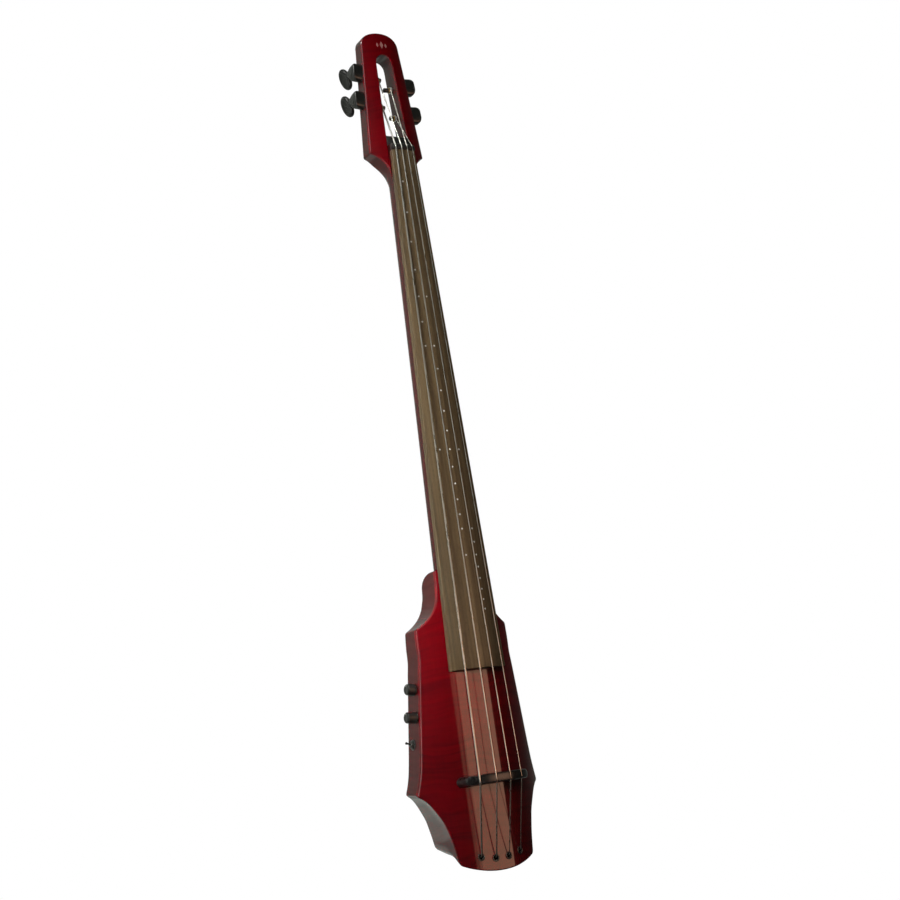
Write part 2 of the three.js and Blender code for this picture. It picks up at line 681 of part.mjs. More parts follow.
// ---------------------------------------------------------------- tuning machines
// local frame: x out of the head's side, y to the back, z up; the post is on the x axis
const WORM_X = 12;
const BUTTON_LEAN = (24 * Math.PI) / 180; // how far each button has been turned
function tunerPieces(wallAt, endAt) {
  const seen = {};
  // housing: a teardrop seen from the side, rounded seen from the front
  const tear = spline([[-10.2, 6], [-9.8, 15], [-6, 20.2], [-0.5, 21.6], [5, 19.6], [10.5, 15], [15.2, 12.6]], 8)
    .concat([[16, 11.4], [16, 5.6], [15.2, 4.4]])
    .concat(spline([[11.4, 1.4], [8.4, -5], [4.2, -9.2], [-1.6, -10.6], [-6.8, -8.8], [-9.8, -1.5]], 6));
  const tearGeo = extrude(tear, 19.2);
  const toX = new THREE.Matrix4().makeBasis(new THREE.Vector3(0, 1, 0), new THREE.Vector3(0, 0, 1), new THREE.Vector3(1, 0, 0));
  tearGeo.applyMatrix4(toX).translate(GAP, 0, 0);
  const front = extrude(
    [[0, -11], [10.8, -11], [14.8, -9.4], [17.3, -5.6], [18.6, 0], [18.6, 12], [17.3, 17.2], [14.6, 20.6], [10.4, 22], [0, 22]],
    40,
  ).rotateX(Math.PI / 2).translate(0, 20, 0);
  const shell = meet(tearGeo, front);
  seen.housing = cut(
    shell,
    rod("x", 7.3, 8.2, 16, 18),
    at(rod("y", 4.1, -7.6, 12.6, 12), WORM_X, 0, WORM_OFFSET),
    rod("x", POST_R + GAP, -5, 10, 16),
    at(rod("y", 2.4, 10, 30, 10), WORM_X, 0, WORM_OFFSET),
  );
  // wheel
  const gear = [];
  for (let i = 0; i < GEAR_TEETH; i++) {
    const c = ((i + 0.5) * 2 * Math.PI) / GEAR_TEETH + Math.PI / 2,
      d = Math.PI / 180;
    for (const [da, r] of [[-6.3, 5.15], [-2.5, 6.6], [2.5, 6.6], [6.3, 5.15]])
      gear.push([r * Math.cos(c + da * d), r * Math.sin(c + da * d)]);
  }
  const gearGeo = extrude(gear, 6).applyMatrix4(toX).translate(9, 0, 0);
  seen.gear = cut(gearGeo, rod("x", 3.1, 0, 20, 10));
  // post, with a string hole, stepped down to carry the wheel
  seen.post = cut(
    union(rod("x", POST_R, endAt - wallAt, 8.6, 16), rod("x", 2.8, 8, 15.6, 10)),
    at(rod("y", 1.5, -10, 10, 8), 16.5 - wallAt, 0, 0),
  );
  // worm: a cam-shaped section twisted along y, on a plain shaft
  const cam = [];
  for (const [deg, r] of [[-42, 3.4], [0, 3.45], [42, 3.4], [92, 2.1], [136, 2.1], [180, 2.1], [224, 2.1], [268, 2.1]]) {
    const a = (deg * Math.PI) / 180;
    cam.push([r * Math.cos(a), r * Math.sin(a)]);
  }
  const pitch = (2 * Math.PI * GEAR_PITCH_R) / GEAR_TEETH;
  const turns = 2.5,
    L = turns * pitch,
    steps = 20;
  const twisted = extrude(cam, L, steps);
  {
    const p = twisted.attributes.position;
    for (let i = 0; i < p.count; i++) {
      // local section plane is (z, x); the axis becomes y
      const y = p.getZ(i) - L / 2;
      const a = (2 * Math.PI * y) / pitch + Math.PI; // crest faces the wheel at y = 0
      const cz = p.getX(i),
        cx = p.getY(i);
      const z = cz * Math.cos(a) - cx * Math.sin(a),
        x = cz * Math.sin(a) + cx * Math.cos(a);
      p.setXYZ(i, x, y, z);
    }
  }
  seen.worm = union(
    at(twisted, WORM_X, 0, WORM_OFFSET),
    at(rod("y", 1.9, -7.2, 25, 8), WORM_X, 0, WORM_OFFSET),
    at(rod("y", 3.5, 7.4, 12.1, 10), WORM_X, 0, WORM_OFFSET),
  );
  // button: an oval paddle in the plane of the shaft
  const oval = [];
  for (let i = 0; i < 20; i++) {
    const a = (2 * Math.PI * i) / 20;
    oval.push([13.6 * Math.cos(a), 19.2 * Math.sin(a)]);
  }
  const paddle = new THREE.ExtrudeGeometry(polygon(oval), {
    depth: 4,
    bevelEnabled: true,
    bevelSegments: 1,
    bevelThickness: 2.3,
    bevelSize: 3,
    bevelOffset: -3,
  })
    .translate(0, 0, -2)
    .applyMatrix4(toX)
    .rotateY(BUTTON_LEAN)
    .translate(WORM_X, 33, WORM_OFFSET);
  seen.button = cut(
    union(paddle, at(rod("y", 3.6, 17, 24, 10), WORM_X, 0, WORM_OFFSET)),
    at(rod("y", 2.2, 10, 25.3, 8), WORM_X, 0, WORM_OFFSET),
  );
  return seen;
}
for (const k of ["e", "a", "d", "g"]) {
  const tuner = tunerPieces(headW(POSTS[k]), POST_END[k]);
  const s = POSTS[k],
    m = wallFrame(headW(s), s, POST_H, HEAD_TILT);
  const place = isLeft(k) ? placedLeft : placed;
  add(`${k}_tuner_housing`, place(tuner.housing, m), "black_metal");
  add(`${k}_tuner_post`, place(tuner.post, m), "black_metal");
  add(`${k}_tuner_wheel`, place(tuner.gear, m), "brass");
  add(`${k}_tuner_worm`, place(tuner.worm, m), "steel");
  add(`${k}_tuner_button`, place(tuner.button, m), "black_metal");
}

// ---------------------------------------------------------------- controls on the thick-string side
for (const [name, s] of Object.entries(KNOB_S)) {
  const m = knobFrame(s);
  const short = name.replace("_knob", "");
  add(
    name,
    placedLeft(
      turned([[KNOB_L[name], 0], [KNOB_L[name], 7.8], [KNOB_L[name] - 1, 9], [1.2, 9.4], [0.8, 9], [0.8, 6.6], [7, 6.6], [7, 3.3], [13, 3.3], [13, 0]], 20),
      m,
    ),
    "black_metal",
  );
  add(`${short}_pot`, placedLeft(union(cut(rod("x", 8.4, -18.5, -8.4, 16), rod("x", 3.3, -16.5, 0, 12)), cut(rod("x", 3.7, -9, 6.2, 14), rod("x", 3.3, -17, 10, 12))), m), "steel");
  add(`${short}_shaft`, placedLeft(union(rod("x", 3.0, -16, 12.6, 12)), m), "steel");
}
{
  const m = switchFrame;
  add(
    "switch_body",
    placedLeft(
      cut(
        union(
          new THREE.BoxGeometry(12, 8, 13).translate(-14.4, 0, 0),
          rod("x", 3.3, -9, 5.4, 14),
        ),
        rod("x", 2.5, -3.6, 12, 12),
      ),
      m,
    ),
    "steel",
  );
  add("switch_nut", placedLeft(cut(union(hex(12, 0.3, 3.0), rod("x", 8.6, 0.3, 0.9, 20)), rod("x", 3.6, -1, 4, 14)), m), "black_metal");
  add(
    "switch_lever",
    placedLeft(
      at(
        turned([[13.8, 0], [13.8, 1.2], [13.3, 1.9], [12, 2.0], [6, 1.15], [1.6, 1.15], [0, 1.7], [-1.8, 1.0], [-1.8, 0]], 12).rotateY(-LEVER_THROW),
        LEVER_PIVOT,
        0,
        0,
      ),
      m,
    ),
    "steel",
  );
}
{
  const m = jackFrame;
  add(
    "output_jack",
    placed(cut(union(rod("x", 4.7, -12, 4.4, 16), rod("x", 6.8, -32, -8.4, 16)), rod("x", 3.3, -30, 10, 14)), m),
    "steel",
  );
  add("jack_nut", placed(cut(union(hex(13, 1.2, 3.8), rod("x", 9, 0.3, 1.3, 20)), rod("x", 5.0, -1, 8, 16)), m), "black_metal");
}

// ---------------------------------------------------------------- back: cover, electronics, stand mount
{
  const cover = solid(planPrism(cavityPlan(3 + GAP, CAVITY.s0 - LEDGE + GAP, CAVITY.s1 + LEDGE - GAP), -160, -60))
    .intersect(onBack(COVER_T))
    .subtract(onBack(0));
  add(
    "cavity_cover",
    cut(cover, ...Object.values(COVER_SCREWS).map(([u, s]) => placed(union(rod("y", 1.8, -8, 8, 12), rod("y", 3.5, -0.9, 8, 16)), backFrame(u, s)))),
    "black_plastic",
  );
  for (const [name, [u, s]] of Object.entries(COVER_SCREWS))
    add(name, placed(union(rod("y", 1.35, -13, -0.2, 10), cut(rod("y", 3.2, -0.6, 1.0, 14), new THREE.BoxGeometry(7, 1, 0.9).translate(0, 1, 0))), backFrame(u, s)), "black_metal");
}
{
  const board = union(
    new THREE.BoxGeometry(56, 1.6, 38),
    new THREE.BoxGeometry(16, 4, 8).translate(-14, 2.6, 8),
    new THREE.BoxGeometry(8, 6, 8).translate(12, 3.6, -8),
    at(rod("y", 3.2, 0, 8, 12), 2, 0, 9),
    at(rod("y", 2.6, 0, 7, 12), -18, 0, -9),
  );
  add("preamp_board", placed(board, new THREE.Matrix4().setPosition(-22, Y0 - CAVITY.floor + 4.3, Z0 - 962)), "board_green");
  const battery = union(
    new THREE.BoxGeometry(26, 17, 46),
    at(rod("z", 3, 22, 24.6, 10), -6, 0, 0),
    at(rod("z", 4, 22, 24.6, 10), 6, 0, 0),
  );
  add("battery", placed(battery, new THREE.Matrix4().setPosition(26, Y0 - CAVITY.floor + 10, Z0 - 940)), "black_plastic");
}
{
  const q = [
    vec(0, SCALE, crown(SCALE) - 0.2),
    vec(0, SCALE, -60),
    vec(0, SCALE, -67),
    vec(0, SCALE - 0.9, -69),
    vec(0, SCALE - 3, -69.8),
    vec(0, 1008, -69.8),
    vec(-2, 1000, -70),
    vec(-8, 990, -71),
    vec(-12, 984, -70),
    vec(-13.5, 981.4, -66),
  ];
  add("pickup_lead", sweep(q, 1.2, 8), "rubber");
}
{
  const s0 = MOUNT_S - MOUNT_HALF_S,
    s1 = MOUNT_S + MOUNT_HALF_S,
    w = MOUNT_HALF_U,
    r = 9;
  const corner = (cu, cs, a0) =>
    [0, 1, 2, 3].map((i) => {
      const a = a0 + (i * Math.PI) / 6;
      return [cu + r * Math.cos(a), cs + r * Math.sin(a)];
    });
  const plan = [
    ...corner(w - r, s1 - r, 0),
    ...corner(-w + r, s1 - r, Math.PI / 2),
    ...corner(-w + r, s0 + r, Math.PI),
    ...corner(w - r, s0 + r, -Math.PI / 2),
  ];
  const wedge = solid(planPrism(plan, MOUNT_H, -90)).intersect(
    solid(profilePrism([[1000, backH(1000) - GAP], [1180, backH(1180) - GAP], [1180, -130], [1000, -130]], -60, 60)),
  );
  const insert = (u) => at(rod("y", 4, -20, 20, 16), u, 0, 0);
  add(
    "stand_mount_plate",
    cut(
      wedge,
      insert(-20),
      insert(20),
      ...Object.values(STAND_SCREWS).map(([u, s]) => at(union(rod("y", 2.8, -30, 4, 12), rod("y", 4.9, -2.6, 4, 16)), u, 0, Z0 - s)),
    ),
    "black_metal",
  );
  for (const [name, [u, s]] of Object.entries(STAND_SCREWS))
    add(
      name,
      at(
        union(rod("y", 2.2, -34, -1.6, 12), cut(rod("y", 4.5, -2.3, -0.4, 16), at(rod("y", 2, -1.4, 2, 6), 0, 0, 0))),
        u,
        0,
        Z0 - s,
      ),
      "black_metal",
    );
}

export default bass;
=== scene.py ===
import bpy, bmesh, math, json
from mathutils import Vector, Matrix


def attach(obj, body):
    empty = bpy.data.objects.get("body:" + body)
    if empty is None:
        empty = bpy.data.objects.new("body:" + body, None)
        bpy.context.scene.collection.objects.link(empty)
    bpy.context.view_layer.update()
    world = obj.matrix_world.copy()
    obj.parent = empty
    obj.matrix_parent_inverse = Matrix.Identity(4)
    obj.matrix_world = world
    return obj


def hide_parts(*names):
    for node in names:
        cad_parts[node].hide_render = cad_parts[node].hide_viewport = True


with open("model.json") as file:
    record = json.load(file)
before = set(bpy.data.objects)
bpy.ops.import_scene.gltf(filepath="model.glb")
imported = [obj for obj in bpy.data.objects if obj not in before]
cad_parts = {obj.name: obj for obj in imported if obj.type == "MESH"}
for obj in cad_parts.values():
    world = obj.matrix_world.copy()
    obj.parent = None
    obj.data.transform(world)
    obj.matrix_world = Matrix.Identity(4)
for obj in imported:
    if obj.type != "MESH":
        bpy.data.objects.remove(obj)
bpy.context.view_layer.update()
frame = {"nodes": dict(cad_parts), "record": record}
SC = bpy.context.scene
MM = 0.001

# ------------------------------------------------------------------ driving dimensions, millimetres
# u sideways (+ thin strings), s from the nut towards the tail, h above the crown of the fingerboard
SCALE, HEAD_TOP, TAIL_END, BOARD_END = 1060.0, -230.3, 1201.5, 888.0
BOARD_NUT_W, BOARD_END_W, BOARD_ARCH, TOP_ARCH = 22.0, 50.3, 188.0, 300.0
HEAD_ARCH, HEAD_VENEER, HEAD_BACK, CAP = 188.0, 3.0, -53.0, 6.0
HEEL_END, MOUNT_S, MOUNT_H, POST_H = 723.3, 1085.0, -116.0, -39.5
POSTS = {"e": -98.0, "a": -150.0, "d": -132.5, "g": -79.5}
POST_END = {"e": 2.0, "a": 2.0, "d": 1.0, "g": 5.0}
HEAD_TILT, WALL_SLOPE = math.atan(0.0745), 0.1023
WALL_TILT = math.atan(WALL_SLOPE)
STRINGS = {
    "e": dict(r=1.45, nut=-16.3, bu=-38.6, bh=2.4, au=-36.0, aS=1176.0),
    "a": dict(r=1.10, nut=-5.4, bu=-12.9, bh=10.4, au=-12.0, aS=1180.5),
    "d": dict(r=0.85, nut=5.4, bu=12.9, bh=10.4, au=12.0, aS=1180.5),
    "g": dict(r=0.65, nut=16.3, bu=38.6, bh=2.4, au=36.0, aS=1176.0),
}
Y0, Z0, GAP = MOUNT_H, MOUNT_S, 0.3
crown = lambda s: -23.4 - 0.0117 * (s - 814)
backH = lambda s: -85 - 0.083 * (s - 812)
boardW = lambda s: BOARD_NUT_W + (BOARD_END_W - BOARD_NUT_W) * s / BOARD_END
boardBottom = lambda s: -11.5 - 0.0139 * s
headCrown = lambda s: -12.7 + 0.046 * s
neckBack = lambda s: -44 - 0.009 * s
wallU = lambda s: 88 + WALL_SLOPE * (s - 880)
headW = lambda s: 52.5 + 0.0745 * s
topH = lambda u, s: crown(s) - u * u / TOP_ARCH
nutH = lambda u: 1.9 - u * u / 260


def P(u, s, h):
    return Vector((u, Y0 - h, Z0 - s)) * MM


def smooth(x):
    t = min(1.0, max(0.0, x))
    return t * t * (3 - 2 * t)


def pch(table, x):
    """Monotone cubic through a table of (x, y)."""
    n = len(table)
    if x <= table[0][0]:
        return table[0][1]
    if x >= table[-1][0]:
        return table[-1][1]
    d = [(table[i + 1][1] - table[i][1]) / (table[i + 1][0] - table[i][0]) for i in range(n - 1)]
    i = max(k for k in range(n - 1) if table[k][0] <= x)

    def slope(k):
        if k == 0:
            return d[0]
        if k == n - 1:
            return d[-1]
        a, b = d[k - 1], d[k]
        if a * b <= 0:
            return 0.0
        return 2 * a * b / (a + b)

    x0, y0 = table[i]
    x1, y1 = table[i + 1]
    w = x1 - x0
    t = (x - x0) / w
    return (
        y0 * (1 + 2 * t) * (1 - t) ** 2
        + slope(i) * w * t * (1 - t) ** 2
        + y1 * t * t * (3 - 2 * t)
        + slope(i + 1) * w * t * t * (t - 1)
    )


def curve_pts(pts, step):
    """A smooth open curve through 2-D points, resampled at about one step."""
    pts = [Vector((p[0], p[1])) for p in pts]
    ext = [pts[0] * 2 - pts[1]] + pts + [pts[-1] * 2 - pts[-2]]
    out = []
    for i in range(1, len(ext) - 2):
        p0, p1, p2, p3 = ext[i - 1 : i + 3]
        t0 = 0.0
        t1 = t0 + max(1e-6, (p1 - p0).length) ** 0.5
        t2 = t1 + max(1e-6, (p2 - p1).length) ** 0.5
        t3 = t2 + max(1e-6, (p3 - p2).length) ** 0.5
        k = max(1, int(math.ceil((p2 - p1).length / step)))
        for j in range(k):
            t = t1 + (t2 - t1) * j / k
            a1 = p0 * ((t1 - t) / (t1 - t0)) + p1 * ((t - t0) / (t1 - t0))
            a2 = p1 * ((t2 - t) / (t2 - t1)) + p2 * ((t - t1) / (t2 - t1))
            a3 = p2 * ((t3 - t) / (t3 - t2)) + p3 * ((t - t2) / (t3 - t2))
            b1 = a1 * ((t2 - t) / (t2 - t0)) + a2 * ((t - t0) / (t2 - t0))
            b2 = a2 * ((t3 - t) / (t3 - t1)) + a3 * ((t - t1) / (t3 - t1))
            out.append(tuple(b1 * ((t2 - t) / (t2 - t1)) + b2 * ((t - t1) / (t2 - t1))))
    out.append(tuple(pts[-1]))
    return out


def bend(a, b, c, n=7):
    """A rounded corner from a to c about b."""
    a, b, c = Vector(a), Vector(b), Vector(c)
    return [tuple(a * (1 - t) ** 2 + b * 2 * t * (1 - t) + c * t * t) for t in [i / n for i in range(n + 1)]]


# ------------------------------------------------------------------ meshes
def make(name, verts, faces, mat, body="bass", slot=None, nodes=(), sharp=38, flat=False):
    me = bpy.data.meshes.new(name)
    me.from_pydata([tuple(v) for v in verts], [], faces)
    bm = bmesh.new()
    bm.from_mesh(me)
    bmesh.ops.remove_doubles(bm, verts=bm.verts, dist=2e-6)
    bmesh.ops.dissolve_degenerate(bm, dist=1e-6, edges=bm.edges)
    bmesh.ops.recalc_face_normals(bm, faces=bm.faces)
    bm.to_mesh(me)
    bm.free()
    ob = bpy.data.objects.new(name, me)
    SC.collection.objects.link(ob)
    if mat is not None:
        me.materials.append(mat)
    finish_mesh(ob, sharp)
    if body:
        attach(ob, body)
    if nodes:
        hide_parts(*nodes)
    return ob


def finish_mesh(ob, sharp=38):
    me = ob.data
    me.polygons.foreach_set("use_smooth", [True] * len(me.polygons))
    me.set_sharp_from_angle(angle=math.radians(sharp))
    me.update()


def stack(rings, cap0=True, cap1=True):
    K = len(rings[0])
    verts, faces = [], []
    for r in rings:
        verts += r
    for k in range(len(rings) - 1):
        for i in range(K):
            j = (i + 1) % K
            faces.append((k * K + i, k * K + j, (k + 1) * K + j, (k + 1) * K + i))
    if cap0:
        faces.append(tuple(range(K - 1, -1, -1)))
    if cap1:
        faces.append(tuple((len(rings) - 1) * K + i for i in range(K)))
    return verts, faces


def loose(verts, faces):
    """A mesh object that only cuts others."""
    return make("cutter", verts, faces, None, body=None)


def cyl(p0, p1, r, n=32, r1=None):
    p0, p1 = Vector(p0), Vector(p1)
    d = (p1 - p0).normalized()
    a = d.orthogonal().normalized()
    b = d.cross(a)
    r1 = r if r1 is None else r1
    ring = lambda p, q: [p + (a * math.cos(t) + b * math.sin(t)) * q for t in [2 * math.pi * i / n for i in range(n)]]
    return stack([ring(p0, r), ring(p1, r1)])


def boolean(ob, cutter, op="DIFFERENCE", keep=False):
    m = ob.modifiers.new("b", "BOOLEAN")
    m.operation, m.solver, m.object = op, "EXACT", cutter
    dg = bpy.context.evaluated_depsgraph_get()
    dg.update()
    new = bpy.data.meshes.new_from_object(ob.evaluated_get(dg))
    ob.modifiers.clear()
    old = ob.data
    ob.data = new
    bpy.data.meshes.remove(old)
    if not keep:
        bpy.data.objects.remove(cutter)


def cut(ob, *cutters, sharp=38):
    for c in cutters:
        boolean(ob, c)
    finish_mesh(ob, sharp)


def bevel(ob, width, segments=3, angle=40, sharp=50):
    m = ob.modifiers.new("bevel", "BEVEL")
    m.width, m.segments, m.limit_method, m.angle_limit = width * MM, segments, "ANGLE", math.radians(angle)
    m.harden_normals = False
    m.use_clamp_overlap = True
    dg = bpy.context.evaluated_depsgraph_get()
    dg.update()
    new = bpy.data.meshes.new_from_object(ob.evaluated_get(dg))
    ob.modifiers.clear()
    ob.data = new
    finish_mesh(ob, sharp)


def local(u, s, h, tilt, left):
    """A frame on a side wall: x out of the wall, y to the back, z up the wall."""
    m = Matrix(
        (
            (math.cos(tilt), 0, -math.sin(tilt), u),
            (0, 1, 0, Y0 - h),
            (math.sin(tilt), 0, math.cos(tilt), Z0 - s),
            (0, 0, 0, 1),
        )
    )
    flip = Matrix.Diagonal((-1, 1, 1, 1)) if left else Matrix.Identity(4)
    scale = Matrix.Diagonal((MM, MM, MM, 1))
    return scale @ flip @ m


def at(m, pts):
    return [m @ Vector(p) for p in pts]


def lathe(profile, n=40):
    """Rings about +x from [x, radius]; a radius of 0 closes an end."""
    rings = []
    for x, r in profile:
        rings.append([(x, r * math.cos(2 * math.pi * i / n), r * math.sin(2 * math.pi * i / n)) for i in range(n)])
    return rings


def tube(path, r, sides=12):
    path = [Vector(p) for p in path]
    t0 = (path[1] - path[0]).normalized()
    a = t0.orthogonal().normalized()
    rings = []
    for i, p in enumerate(path):
        if i == 0:
            t = t0
        elif i == len(path) - 1:
            t = (path[-1] - path[-2]).normalized()
        else:
            t = ((path[i + 1] - p).normalized() + (p - path[i - 1]).normalized()).normalized()
        a = (a - t * a.dot(t)).normalized()
        b = t.cross(a)
        rings.append([p + (a * math.cos(q) + b * math.sin(q)) * r for q in [2 * math.pi * k / sides for k in range(sides)]])
    return stack(rings)


# ------------------------------------------------------------------ materials
def srgb(r, g, b):
    f = lambda c: c / 12.92 if c <= 0.04045 else ((c + 0.055) / 1.055) ** 2.4
    return (f(r / 255), f(g / 255), f(b / 255), 1.0)


class Mat:
    def __init__(self, name, **sockets):
        self.m = bpy.data.materials.new(name)
        self.m.use_nodes = True
        self.t = self.m.node_tree
        self.b = self.t.nodes["Principled BSDF"] if "Principled BSDF" in self.t.nodes else None
        if self.b is None:
            self.t.nodes.clear()
            self.b = self.t.nodes.new("ShaderNodeBsdfPrincipled")
            o = self.t.nodes.new("ShaderNodeOutputMaterial")
            self.t.links.new(self.b.outputs[0], o.inputs[0])
        for k, v in sockets.items():
            self.b.inputs[k.replace("_", " ")].default_value = v
        self.coord = self.t.nodes.new("ShaderNodeTexCoord").outputs["Object"]

    def n(self, kind, **inputs):
        node = self.t.nodes.new("ShaderNode" + kind)
        for k, v in inputs.items():
            k = k.replace("_", " ")
            if isinstance(v, bpy.types.NodeSocket):
                self.t.links.new(v, node.inputs[k])
            else:
                node.inputs[k].default_value = v
        return node

    def scaled(self, x, y, z, shift=(0, 0, 0), src=None):
        node = self.n("Mapping")
        self.t.links.new(src or self.coord, node.inputs["Vector"])
        node.inputs["Scale"].default_value = (x, y, z)
        node.inputs["Location"].default_value = shift
        return node.outputs[0]

    def noise(self, vec, scale=1.0, detail=3.0, rough=0.5, distortion=0.0):
        node = self.n("TexNoise", Vector=vec, Scale=scale, Detail=detail, Roughness=rough, Distortion=distortion)
        return node.outputs["Fac"]

    def ramp(self, fac, *stops):
        node = self.t.nodes.new("ShaderNodeValToRGB")
        self.t.links.new(fac, node.inputs[0])
        e = node.color_ramp.elements
        while len(e) < len(stops):
            e.new(0.5)
        for el, (p, c) in zip(e, stops):
            el.position = p
            el.color = c if len(c) == 4 else (*c, 1)
        return node.outputs[0]

    def gray(self, fac, *stops):
        return self.ramp(fac, *[(p, (v, v, v, 1)) for p, v in stops])

    def mix(self, fac, a, b, mode="MIX"):
        node = self.t.nodes.new("ShaderNodeMix")
        node.data_type, node.blend_type = "RGBA", mode
        for i, v in ((0, fac), (6, a), (7, b)):
            if isinstance(v, bpy.types.NodeSocket):
                self.t.links.new(v, node.inputs[i])
            else:
                node.inputs[i].default_value = v
        return node.outputs[2]

    def math(self, op, a, b=0.0, c=0.0):
        node = self.t.nodes.new("ShaderNodeMath")
        node.operation = op
        for i, v in enumerate((a, b, c)):
            if isinstance(v, bpy.types.NodeSocket):
                self.t.links.new(v, node.inputs[i])
            else:
                node.inputs[i].default_value = v
        return node.outputs[0]

    def bump(self, height, strength=0.2, distance=0.0002, normal=None):
        node = self.n("Bump", Strength=strength, Distance=distance, Height=height)
        if normal is not None:
            self.t.links.new(normal, node.inputs["Normal"])
        return node.outputs[0]

    def to(self, socket, value):
        self.t.links.new(value, self.b.inputs[socket])
        return self


def flame_maple(name, bright, mid, dark, coat=1.0, coat_rough=0.03, contrast=0.5, seed=0.0, rough=0.38, painted_shade_to_tail=0.0):
    """Red-stained flame maple under clear lacquer: bands of figure across the grain, fine grain along it, and optional
    painted shade darkening towards the tail.
    """
    k = Mat(name, Roughness=rough, Coat_Weight=coat, Coat_Roughness=coat_rough, Coat_IOR=1.5, Specular_IOR_Level=0.08)
    warp = k.noise(k.scaled(9, 9, 5, (seed, 0, 0)), 1.0, 2.0)
    lean = k.n("VectorMath")
    lean.operation = "MULTIPLY_ADD"
    k.t.links.new(k.n("CombineXYZ", X=0.0, Y=0.0, Z=warp).outputs[0], lean.inputs[0])
    lean.inputs[1].default_value = (0, 0, 0.05)
    k.t.links.new(k.coord, lean.inputs[2])
    figure = k.noise(k.scaled(10, 10, 150, (seed, seed, 0), lean.outputs[0]), 1.0, 2.5, 0.55, 0.25)
    broad = k.noise(k.scaled(7, 7, 34, (seed, 3.0, 1.0), lean.outputs[0]), 1.0, 2.0, 0.5)
    grain = k.noise(k.scaled(900, 900, 14, (seed, 0, 0)), 1.0, 3.0, 0.65)
    pores = k.noise(k.scaled(2600, 2600, 90), 1.0, 1.0, 0.5)
    bands = k.mix(0.35, k.gray(figure, (0.30, 0.0), (0.70, 1.0)), k.gray(broad, (0.3, 0.0), (0.7, 1.0)))
    base = k.ramp(bands, (0.12, dark), (0.5, mid), (0.88, bright))
    base = k.mix(contrast, mid, base)
    base = k.mix(k.gray(grain, (0.35, 0.16), (0.6, 0.0)), base, tuple(c * 0.45 for c in dark[:3]) + (1,))
    base = k.mix(k.gray(pores, (0.30, 0.22), (0.40, 0.0)), base, tuple(c * 0.3 for c in dark[:3]) + (1,))
    if painted_shade_to_tail:  # painted shade: the colour darkens from the shoulders of the body to its tail, standing in for the light falling off down the arched top
        up = k.math("MULTIPLY_ADD", k.n("SeparateXYZ", Vector=k.coord).outputs["Z"], 2.2, 0.26)
        up = k.math("ADD", up, k.math("MULTIPLY", k.noise(k.scaled(6, 6, 9, (seed, 1, 4)), 1.0, 2.0), 0.22))
        base = k.mix(k.gray(up, (0.12, painted_shade_to_tail), (0.50, painted_shade_to_tail * 0.8), (0.95, 0.0)), base, tuple(c * 0.25 for c in dark[:3]) + (1,))
    k.to("Base Color", base)
    k.to("Roughness", k.gray(bands, (0.0, rough + 0.08), (1.0, rough - 0.06)))
    peel = k.noise(k.scaled(160, 160, 160), 1.0, 2.0)
    k.to("Normal", k.bump(grain, 0.05, 0.00006))
    k.to("Coat Normal", k.bump(peel, 0.035, 0.00012))
    return k.m


def plain_black(name, level=(0.012, 0.012, 0.0105), rough=0.36, metallic=0.0, coat=0.0, speck=700, spec=0.5):
    """Satin black: fine tooth, slow sheen variation, paler rubbed edges."""
    k = Mat(name, Roughness=rough, Metallic=metallic, Coat_Weight=coat, Coat_Roughness=0.2, Specular_IOR_Level=spec)
    fine = k.noise(k.scaled(speck * 4, speck * 4, speck * 4), 1.0, 3.0, 0.6)
    slow = k.noise(k.scaled(70, 70, 70), 1.0, 3.0, 0.5)
    geo = k.t.nodes.new("ShaderNodeNewGeometry")
    edge = k.gray(geo.outputs["Pointiness"], (0.50, 0.0), (0.60, 1.0))
    edge = k.mix(slow, (0, 0, 0, 1), edge)
    base = k.mix(slow, (*level, 1), (*[c * 1.5 for c in level], 1))
    base = k.mix(edge, base, (*[c * 3.2 + 0.008 for c in level], 1))
    k.to("Base Color", base)
    k.to("Roughness", k.mix(fine, k.gray(slow, (0.3, rough - 0.06), (0.7, rough + 0.08)), (rough + 0.05,) * 3 + (1,)))
    k.to("Normal", k.bump(fine, 0.06, 0.00005))
    return k.m


def metal(name, color, rough=0.25, brush=(2500, 2500, 60), tarnish=None, strength=0.08):
    k = Mat(name, Metallic=1.0, Roughness=rough)
    lines = k.noise(k.scaled(*brush), 1.0, 3.0, 0.6)
    slow = k.noise(k.scaled(120, 120, 120), 1.0, 4.0, 0.6)
    dark = tarnish or tuple(c * 0.72 for c in color)
    base = k.mix(k.gray(slow, (0.42, 0.0), (0.66, 0.8)), (*color, 1), (*dark, 1))
    k.to("Base Color", k.mix(k.gray(lines, (0.3, 0.25), (0.7, 0.0)), base, (*[c * 0.6 for c in color], 1)))
    k.to("Roughness", k.gray(slow, (0.3, rough * 0.8), (0.7, rough * 1.5)))
    k.to("Normal", k.bump(lines, strength, 0.00004))
    return k.m


# the face's colour darkens towards the tail: painted shade for the key light falling off down the body
FACE = flame_maple("maple_face", srgb(146, 0, 16), srgb(118, 0, 12), srgb(66, 0, 8), contrast=0.42, painted_shade_to_tail=0.55)
SIDE = flame_maple("maple_side", srgb(84, 9, 11), srgb(70, 6, 8), srgb(46, 3, 5), contrast=0.3, seed=2.3, coat_rough=0.07)
HEADF = flame_maple("maple_head_face", srgb(124, 0, 11), srgb(102, 0, 8), srgb(62, 0, 6), contrast=0.4, seed=5.1)
NECK = flame_maple("maple_neck", srgb(76, 9, 9), srgb(62, 7, 7), srgb(42, 4, 5), contrast=0.25, seed=7.7, coat_rough=0.10)


